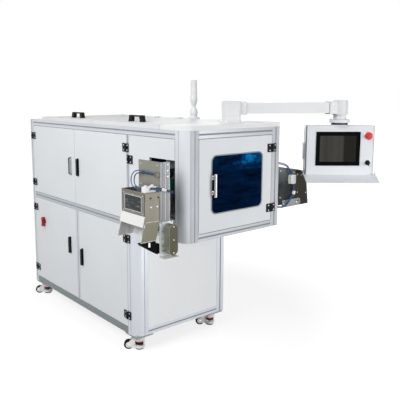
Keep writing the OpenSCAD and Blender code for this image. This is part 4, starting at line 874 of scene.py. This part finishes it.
def dress_hinges():
    for body, pin_y, levels, side, frame_leaf in HINGES:
        for z in levels:
            dress_hinge(body, left_face, LEFT, pin_y, z, side, frame_leaf)
    for z in UPPER_LEVELS:
        dress_hinge("window_door", front_face, FRONT, WINDOW_PIN_X, z, -1, WIDE_LEAF)


# Lids and handles
LID_MIDS = {"front_lid": 655, "rear_lid": 1465}
LID_PIN_X, LID_HINGE = 691.5, 260
LID_LEAF_T, LID_LEAF_MID, LID_LEAF_SCREW = 3, 17.75, 19
LID_HANDLE_X, LID_HANDLE_H, LID_HANDLE_SCREW = 115, 44, 58
PULL_H, PULL_SCREW = 18, 56


def dress_lids():
    leaf_top, handle_top = COVER_TOP + LID_LEAF_T, COVER_TOP + LID_HANDLE_H
    for body, mid in LID_MIDS.items():
        for hinge in both(LID_HINGE):
            for dy in both(LID_LEAF_SCREW):
                y = mid + hinge + dy
                screw(on("steel_screws", body), at(LID_PIN_X - LID_LEAF_MID, y, leaf_top), UP, r=3.6, h=2.2)
                screw(on("steel_screws"), at(LID_PIN_X + LID_LEAF_MID, y, leaf_top), UP, r=3.6, h=2.2)
        for dy in both(LID_HANDLE_SCREW):
            cap(on("black_screws", body), at(LID_HANDLE_X, mid + dy, handle_top), UP, r=8, h=1.4)
    for body, (y, z, *_) in PULLS.items():
        for dz in both(PULL_SCREW):
            screw(on("black_screws", body), left_face(y, z + dz, PULL_H), LEFT, r=4, h=1.6)


# Window door: gasket of the pane, flanges and ends of the bar handle
WINDOW_X, WINDOW_Z, WINDOW_W, WINDOW_H, WINDOW_R = 202, 1022, 448, 360, 38
GASKET_OUT = 1
ROD_X, ROD_Y, ROD_R = 210, -30, 9
ROD_ENDS, ROD_FOOT = (1135, 1269), 20


def dress_window():
    middle = facing(front_face(WINDOW_X + WINDOW_W / 2, WINDOW_Z + WINDOW_H / 2, GASKET_OUT), FRONT)
    path = outline_path(middle, WINDOW_W, WINDOW_H, WINDOW_R, arc=8)
    bead(on("window_seal", "window_door"), path, 4.0, FRONT, closed=True)
    bright = on("bright_trim", "window_door")
    for z, axis in zip(ROD_ENDS, (DOWN, UP)):
        cap(bright, at(ROD_X, ROD_Y, z), axis, ROD_R, h=3.5)
        ring(bright, front_face(ROD_X, z - ROD_FOOT * axis.z), FRONT, inner=6.2, outer=13, h=4)


def dress_panel():
    out, back = PANEL_TURN @ FRONT, PANEL_TURN @ BACK
    screen = facing(on_panel(SCREEN_X, SCREEN_FRONT, SCREEN_Z), out)
    border(on("screen_trim", "panel"), screen, SCREEN_W, SCREEN_H, r=7, width=13, thick=1.6)
    shown_w, shown_h = SCREEN_W - 2 * SCREEN_BEZEL, SCREEN_H - 2 * SCREEN_BEZEL
    plate(on("display_glass", "panel"), screen, shown_w, shown_h, r=2, thick=0.7, chamfer=0.2)
    grip = facing(on_panel(-PANEL_HALF, GRIP_Y, GRIP_Z), PANEL_TURN @ LEFT)
    plate(on("side_grip", "panel"), grip, GRIP_W, GRIP_H, r=6, thick=GRIP_THICK, chamfer=2)
    bright, steel = on("bright_trim", "panel"), on("steel_screws", "panel")
    ring(bright, on_panel(BUTTON_X, PANEL_FRONT, STOP_Z), out, inner=26, outer=31, h=3)
    ring(bright, on_panel(BUTTON_X, PANEL_FRONT, KEY_Z), out, inner=17.6, outer=21.5, h=3)
    middle = (PANEL_Z + PANEL_TOP) / 2
    for x in (-PANEL_HALF + BACK_SCREW, 0, PANEL_HALF - BACK_SCREW):
        for z in (PANEL_Z + BACK_SCREW, middle, PANEL_TOP - BACK_SCREW):
            if x or z != middle:
                screw(steel, on_panel(x, -PANEL_FRONT, z), back)
    for k in range(NECK_BOLTS):
        a = 2 * math.pi * (k + 0.5) / NECK_BOLTS
        bolt = on_panel(NECK_BOLT_R * math.cos(a), NECK_BOLT_R * math.sin(a), NECK_BOLT_Z)
        hex_bolt(steel, bolt, UP, r=5, h=3)
    lip_y, lip_z = PANEL_FRONT - TRAY_REACH, PANEL_Z - TRAY_DROP
    lip = [on_panel(x, lip_y, lip_z) for x in both(PANEL_HALF + TRAY_SIDE)]
    bead(on("white_trim", "panel"), lip, 3, UP)


def dress_arm():
    side, along = ARM_TURN @ BACK, ARM_TURN @ RIGHT
    white, steel = on("white_trim", "panel_arm"), on("steel_screws", "panel_arm")
    sleeve_ends = ((SLEEVE_L, SLEEVE_SCREW_X), (ARM_LEN - SLEEVE_L, ARM_LEN - SLEEVE_SCREW_X))
    for mouth_x, screw_x in sleeve_ends:
        mouth = facing(on_arm(mouth_x, 0, SLEEVE_Z), along)
        bead(white, outline_path(mouth, SLEEVE_W, SLEEVE_H, 4), 2.2, along, closed=True)
        for dz in both(SLEEVE_SCREW_Z):
            for sign in (-1, 1):
                spot = on_arm(screw_x, sign * SLEEVE_W / 2, SLEEVE_Z + dz)
                screw(steel, spot, sign * side, h=3)
    head = facing(on_arm(0, 0, ARM_HEAD_TOP), UP, side)
    plate(white, head, ARM_HEAD_PLATE, ARM_HEAD_PLATE, r=18, thick=3, chamfer=1.2)
    cap(white, on_arm(ARM_LEN, 0, ARM_HEAD_TOP), UP, ARM_HEAD_CAP_R, h=4, sides=40)
    for dx in both(ARM_BASE_BOLT):
        for dy in both(ARM_BASE_BOLT):
            hex_bolt(on("steel_screws"), on_arm(dx, dy, COVER_TOP + ARM_BASE_T), UP, r=4.5, h=3.5)


# Casters: bolts of the plates, knurled dials, axle bolts and bearing rings
CASTER_INSET = 74
CASTER_X = (CASTER_INSET, CABINET_W - CASTER_INSET)
CASTER_Y = (OVERHANG + CASTER_INSET, CABINET_L - CASTER_INSET)
CASTER_TURN = Matrix.Rotation(math.radians(-39), 4, "Z")
CASTER_PLATE_Z, CASTER_BOLT, CASTER_TRAIL, CHEEK_Y = 81, 54, 76, 20
SWIVEL_R, SWIVEL_Z = 39, 73
WHEEL_R, DIAL_R, DIAL_Z = 33, 31, 55


def dress_casters():
    for i, corner in enumerate(CORNERS):
        x, y = CASTER_X[i % 2], CASTER_Y[i // 2]
        body, foot = "caster_body_" + corner, "caster_foot_" + corner
        for dx in both(CASTER_BOLT):
            for dy in both(CASTER_BOLT):
                hex_bolt(on("steel_screws"), at(x + dx, y + dy, CASTER_PLATE_Z), DOWN, h=4)
        ring(on("bright_trim", body), at(x, y, SWIVEL_Z), UP, SWIVEL_R - 0.5, SWIVEL_R + 2, h=5, sides=40)
        for sign in (-1, 1):
            cheek = CASTER_TURN @ (Vector((-CASTER_TRAIL, sign * CHEEK_Y, 0)) * MM)
            axle = at(x, y, WHEEL_R - FLOOR_DROP) + cheek
            hex_bolt(on("steel_screws", body), axle, CASTER_TURN @ (sign * BACK), r=8, h=4)
        dial = at(x, y, DIAL_Z - FLOOR_DROP)
        ring(on("knurled_rings", foot), dial, UP, DIAL_R - 0.4, DIAL_R + 0.4, h=9, sides=72, tooth=0.8)


# Left outlet: plates, sight window, drive guard and fittings
HOPPER_FRONT, HOPPER_REAR = 3, 235
HOPPER_OUT, HOPPER_IN, HOPPER_TOP = -290, -187, 1207
SIGHT_FACE, SIGHT_PANE = -295.25, -292.75
AWNING_OUT, AWNING_LOW = -307, 1016
STRIP_Z0, STRIP_Z1, STRIP_T = 1162, 1205, 2
PLATE_SCREWS = ((-249, 1125), (-207, 1124))
STRIP_SCREWS = ((-254, 1176), (-200, 1176))
SIGHT_Y, SIGHT_Z, SIGHT_L, SIGHT_H = 114, 1139, 160, 82
SIGHT_BORDER, SIGHT_RIM = 26, 18
FOLD_Z = 1038
GREEN_PLATE = (22, 151.5, 1205)
BRACKET_TOP, BRACKET_REAR = 1372, 205
CHEEK_EDGE, CHEEK_SCREW_X, CHEEK_RIBS = -120, -133, (-168, -150)
GUARD_X, GUARD_Z0, GUARD_Z1, GUARD_R, GUARD_FACE = -132, 870, 990, 30, -53
GUARD_ARC, GUARD_SCREW = 16, 16


def dress_left_hopper():
    steel, hems, dark = on("steel_screws"), on("steel_hems"), on("dark_hems")
    front, rear = HOPPER_FRONT, HOPPER_REAR
    strip = facing(at((HOPPER_OUT + HOPPER_IN) / 2, front, (STRIP_Z0 + STRIP_Z1) / 2), FRONT)
    plate(on("outlet_strips"), strip, HOPPER_IN - HOPPER_OUT - 2, STRIP_Z1 - STRIP_Z0, r=3, thick=STRIP_T)
    for x, z in PLATE_SCREWS:
        screw(steel, at(x, front, z), FRONT, r=5, h=3.4)
    for x, z in STRIP_SCREWS:
        screw(on("black_screws"), at(x, front - STRIP_T, z), FRONT, r=5, h=3.4)
    for x in (HOPPER_OUT, HOPPER_IN):
        bead(dark, [at(x, y, HOPPER_TOP) for y in (front, rear)], 2.0, UP)
    bead(hems, [at(AWNING_OUT, y, AWNING_LOW) for y in (front, rear)], 1.8, UP)
    spout = [(-218, 930), (-322, 930), (-312, 967)]
    for y in (front, rear):
        bead(hems, [at(x, y, z) for x, z in spout], 1.8, FRONT)
        bead(dark, [at(x, y, HOPPER_TOP) for x in (HOPPER_OUT, HOPPER_IN)], 2.0, FRONT)
    # A bright bead along the fold of the front plate: partly a real fold and partly a painted highlight
    bead(hems, [at(HOPPER_OUT + 2, front, FOLD_Z + 3), at(HOPPER_IN - 2, front, FOLD_Z)], 1.8, FRONT)


def dress_sight_window():
    steel, hems, dark = on("steel_screws"), on("steel_hems"), on("dark_hems")
    glass = facing(at(SIGHT_PANE, SIGHT_Y, SIGHT_Z), LEFT)
    plate(on("sight_glass"), glass, SIGHT_L - 1, SIGHT_H - 1, r=2, thick=0.8, chamfer=0.2)
    face = facing(at(SIGHT_FACE, SIGHT_Y, SIGHT_Z), LEFT)
    border(dark, face, SIGHT_L + 2 * SIGHT_BORDER - 2, SIGHT_H + 2 * SIGHT_RIM - 2, r=4, width=4, thick=1.6)
    border(hems, face, SIGHT_L + 10, SIGHT_H + 10, r=6, width=4, thick=1.2)
    for dy in (-SIGHT_L / 2 - 15, 0, SIGHT_L / 2 + 15):
        for dz in both(SIGHT_H / 2 + 10):
            screw(steel, at(SIGHT_FACE, SIGHT_Y + dy, SIGHT_Z + dz), LEFT, r=3.2, h=2)


def dress_left_bracket():
    steel, hems, dark = on("steel_screws"), on("steel_hems"), on("dark_hems")
    plate(on("chute_guard"), facing(at(*GREEN_PLATE), FRONT), w=32, h=70, r=3, thick=2)
    for z in (1356, 1322, 1288):
        screw(steel, at(CHEEK_SCREW_X, 0, z), FRONT, h=3)
    for y in (24, 182):
        for z in (1352, 1232):
            screw(steel, at(HOPPER_IN - 1.5, y, z), LEFT, h=3)
    corners = ((BRACKET_REAR, HOPPER_TOP + 4), (BRACKET_REAR, BRACKET_TOP), (0, BRACKET_TOP))
    bead(dark, [at(HOPPER_IN, y, z) for y, z in corners], 2.0, LEFT)
    bead(hems, [at(CHEEK_EDGE, 1.5, z) for z in (1029, BRACKET_TOP)], 1.9, FRONT)
    for bm, x in zip((dark, hems), CHEEK_RIBS):
        bead(bm, [at(x, 0, 1036), at(x, 0, 1368)], 2.2, FRONT)


def dress_drive():
    path = []
    for k in range(2 * GUARD_ARC + 1):
        a = math.pi * k / GUARD_ARC
        z = GUARD_Z1 if k <= GUARD_ARC else GUARD_Z0
        path.append(at(GUARD_X + GUARD_R * math.cos(a), GUARD_FACE + 1, z + GUARD_R * math.sin(a)))
    bead(on("dark_hems"), path, 1.6, FRONT, closed=True)
    for z in (GUARD_Z1 + GUARD_SCREW, (GUARD_Z0 + GUARD_Z1) / 2, GUARD_Z0 - GUARD_SCREW):
        screw(on("steel_screws"), at(GUARD_X, GUARD_FACE, z), FRONT, r=4, h=2.6)
    for x in (-181, -108):
        screw(on("black_screws"), at(x, -1, 1023.5), FRONT, r=3.2, h=2)
    # A small bright plate on the black bucket, standing in for a highlight: painted highlight
    strip = facing(at(-258, 10, 908), FRONT)
    plate(on("bright_trim", "bucket"), strip, w=14, h=26, r=2, thick=1.2)


def dress_fittings():
    blue, black, white = on("fitting_rings"), on("black_trim"), on("white_trim")
    for origin, axis in (
        (at(*LEFT_ROUTE[0]), LEFT), (at(-200, 26, 1302), BACK),
        (from_right(*RIGHT_ROUTE[0]), RIGHT), (from_right(*RIGHT_ROUTE[-1]), RIGHT),
    ):
        for dz in both(TUBE_GAP):
            ring(blue, origin + UP * dz * MM, axis, inner=3.1, outer=5.4, h=4, sides=20)
    for x in (-268, -222):
        lathe(white, [(11, -0.5), (11, 4), (8, 8), (4, 9.5), (0, 9.8)], at(x, 29, 1239), UP)
    ring(white, at(-249, 11, 1229), FRONT, inner=7.4, outer=13, h=6)
    ring(white, at(-259.5, 47, 1224.5), BACK, inner=7.4, outer=12, h=6)
    ring(black, at(-192, -12.5, 1222), Vector((-34, 1.5, 9)), inner=7.4, outer=10.2, h=2.5)
    ring(black, at(-158, -14, 1213), Vector((34, -1.5, -9)), inner=7.4, outer=10.2, h=2.5)
    for z in (1152, 1190):
        screw(on("steel_screws"), from_right(127, -28, z), FRONT, r=4, h=3)
    ring(black, at(-201, 140, 1304), BACK, inner=8.2, outer=9.8, h=4)


def dress_right_outlet():
    steel = on("steel_screws")
    for x, z in ((22, 1236), (22, 1052), (160, 1214), (160, 1052)):
        screw(steel, from_right(x, 0, z), FRONT, h=3)
    for x, z in ((205, 1196), (246, 1188), (206, 1070), (300, 1058)):
        screw(steel, from_right(x, HOPPER_FRONT, z), FRONT, h=3)
    hood = [(187, 1233), (258, 1219), (308, 1135), (330, 977)]
    for y in (HOPPER_FRONT, HOPPER_REAR):
        bead(on("steel_hems"), [from_right(x, y, z) for x, z in hood], 2.0, FRONT)
    for x in (60, 190):
        screw(steel, from_right(x, -3, 1004), FRONT, r=5, h=3.4)
    plate(on("outlet_strips"), facing(from_right(21.5, -0.4, 1016), FRONT), w=41, h=31, r=1, thick=2.2)
    ring(on("white_trim"), from_right(116, -14, 1200), UP, inner=8.2, outer=13, h=5)
    ring(on("white_trim"), from_right(142, -14, 1142), DOWN, inner=8.2, outer=11, h=5)


# Bars and fixed panels: grey covers in the bars' slots, which also stand in for the shade in the slots, and
# screws round the panels
SLOT_SECTION = (
    (-4.8, -5.5), (4.8, -5.5), (4.8, -2.2), (3.0, -2.2), (0, -3.6), (-3.0, -2.2), (-4.8, -2.2),
)
RAIL_Z, TRANSOM_Z, TOP_BAR_Z = 118, 887.5, 1513
LEG, POST, LOWER_BAY, UPPER_BAY = (93, 865), (865, 1538), (143, 865), (910, 1488)
# By side: faces of the upper and lower part, starts of their level bars, end of both, and places of the
# legs, the posts, and the bars inside the lower and upper bays
SIDES = (
    (LEFT, left_face, left_face, 100, 622, 2058, (2083,), (2083,), (1315,), (600.5,)),
    (FRONT, front_face, low_front_face, 100, 100, 744, (779,), (779,), (), ()),
    (RIGHT, right_face, right_face, 70, 592, 2058, (2083, 557), (2083, 35), (1315,), (1330,)),
    (BACK, back_face, back_face, 50, 50, 764, (25, 789), (25, 789), (), ()),
)
RIGHT_PANELS = (
    (592, 1296, LOWER_BAY), (1334, 2058, LOWER_BAY), (1355, 2058, UPPER_BAY), (358, 1305, UPPER_BAY),
)
BACK_PANELS = ((50, 764, LOWER_BAY), (50, 764, UPPER_BAY))
SCREW_PITCH, SCREW_EDGE = 230, 14


def dress_bars():
    for out, upper, lower, upper_start, lower_start, end, legs, posts, low_mids, high_mids in SIDES:
        runs = [(upper(upper_start, z), upper(end, z)) for z in (TRANSOM_Z, TOP_BAR_Z)]
        runs.append((lower(lower_start, RAIL_Z), lower(end, RAIL_Z)))
        for face, places, (low, high) in (
            (lower, legs, LEG), (upper, posts, POST),
            (lower, low_mids, LOWER_BAY), (upper, high_mids, UPPER_BAY),
        ):
            runs += [(face(place, low), face(place, high)) for place in places]
        for low, high in runs:
            trim = (high - low).normalized() * MM
            extrude_section(on("slot_covers"), SLOT_SECTION, low + trim, high - trim, out)


def spaced(low, high):
    count = max(round((high - low) / SCREW_PITCH), 1)
    return [low + (high - low) * k / count for k in range(count + 1)]


def panel_screws(face, out, start, end, bay):
    """Screws round a panel that is set into a bay."""
    a0, a1 = start + SCREW_EDGE, end - SCREW_EDGE
    z0, z1 = bay[0] + SCREW_EDGE, bay[1] - SCREW_EDGE
    level = {(a, z) for a in spaced(a0, a1) for z in (z0, z1)}
    upright = {(a, z) for a in (a0, a1) for z in spaced(z0, z1)}
    for a, z in sorted(level | upright):
        screw(on("steel_screws"), face(a, z, -FACE_INSET), out, h=2.6)


def dress_panels():
    for panel in RIGHT_PANELS:
        panel_screws(right_face, RIGHT, *panel)
    for panel in BACK_PANELS:
        panel_screws(back_face, BACK, *panel)


for dress in (
    dress_hinges, dress_lids, dress_window, dress_panel, dress_arm, dress_casters,
    dress_left_hopper, dress_sight_window, dress_left_bracket, dress_drive, dress_fittings,
    dress_right_outlet, dress_bars, dress_panels,
):
    dress()
finish_pieces()


# Floor, world and lamps


def seen_ray(f):
    """One for camera, glossy and transmission rays."""
    path = f.tree.nodes.new("ShaderNodeLightPath")
    seen = f.math("MAXIMUM", path.outputs["Is Camera Ray"], path.outputs["Is Glossy Ray"])
    return f.math("MAXIMUM", seen, path.outputs["Is Transmission Ray"])


def make_floor():
    """Pale floor that keeps a soft shadow near the machine and fades into the backdrop."""
    size = 40
    grey = 0.3
    near, far = 1.3, 2.6
    near_glow, far_glow = 0.77, 1.0
    mesh = bpy.data.meshes.new("floor")
    corners = [(-size, -size, 0), (size, -size, 0), (size, size, 0), (-size, size, 0)]
    mesh.from_pydata(corners, [], [(0, 1, 2, 3)])
    floor = bpy.data.objects.new("floor", mesh)
    bpy.context.scene.collection.objects.link(floor)
    f = Finish(bpy.data.materials.new("pale_floor"))
    matte = f.joined("BsdfDiffuse", {"Color": (grey, grey, grey, 1)})
    reach = f.joined("VectorMath", {0: f.place}, "Value", operation="LENGTH")
    fade = f.ranged(reach, near, far, near_glow, far_glow)
    level = f.math("MULTIPLY", fade, seen_ray(f))
    glow = f.joined("Emission", {"Color": (1, 1, 1, 1), "Strength": level})
    mesh.materials.append(f.done(f.joined("AddShader", {0: matte, 1: glow})))


def make_world(ambient):
    """White backdrop that lights the machine less than it shows."""
    world = bpy.data.worlds.new("studio")
    f = Finish(world, "OutputWorld")
    level = f.ranged(seen_ray(f), 0.0, 1.0, ambient, 1.0)
    f.done(f.joined("Background", {"Color": (1, 1, 1, 1), "Strength": level}))
    bpy.context.scene.world = world


def area_light(name, place, target, size, power):
    data = bpy.data.lights.new(name, "AREA")
    data.shape = "DISK"
    data.size = size
    data.energy = power
    lamp = bpy.data.objects.new(name, data)
    lamp.location = place
    lamp.rotation_euler = (Vector(target) - Vector(place)).to_track_quat("-Z", "Y").to_euler()
    bpy.context.scene.collection.objects.link(lamp)


make_floor()
make_world(ambient=0.28)
area_light("key", place=(-4.4, -0.8, 4.3), target=(0, 0.1, 1.2), size=4.4, power=248)
area_light("fill", place=(1.5, -6.0, 1.3), target=(0, -0.5, 0.9), size=3.5, power=170)
area_light("rim", place=(5.5, 5.0, 1.7), target=(0.2, 0.4, 0.9), size=3.0, power=150)

bpy.context.scene.view_settings.view_transform = "Standard"
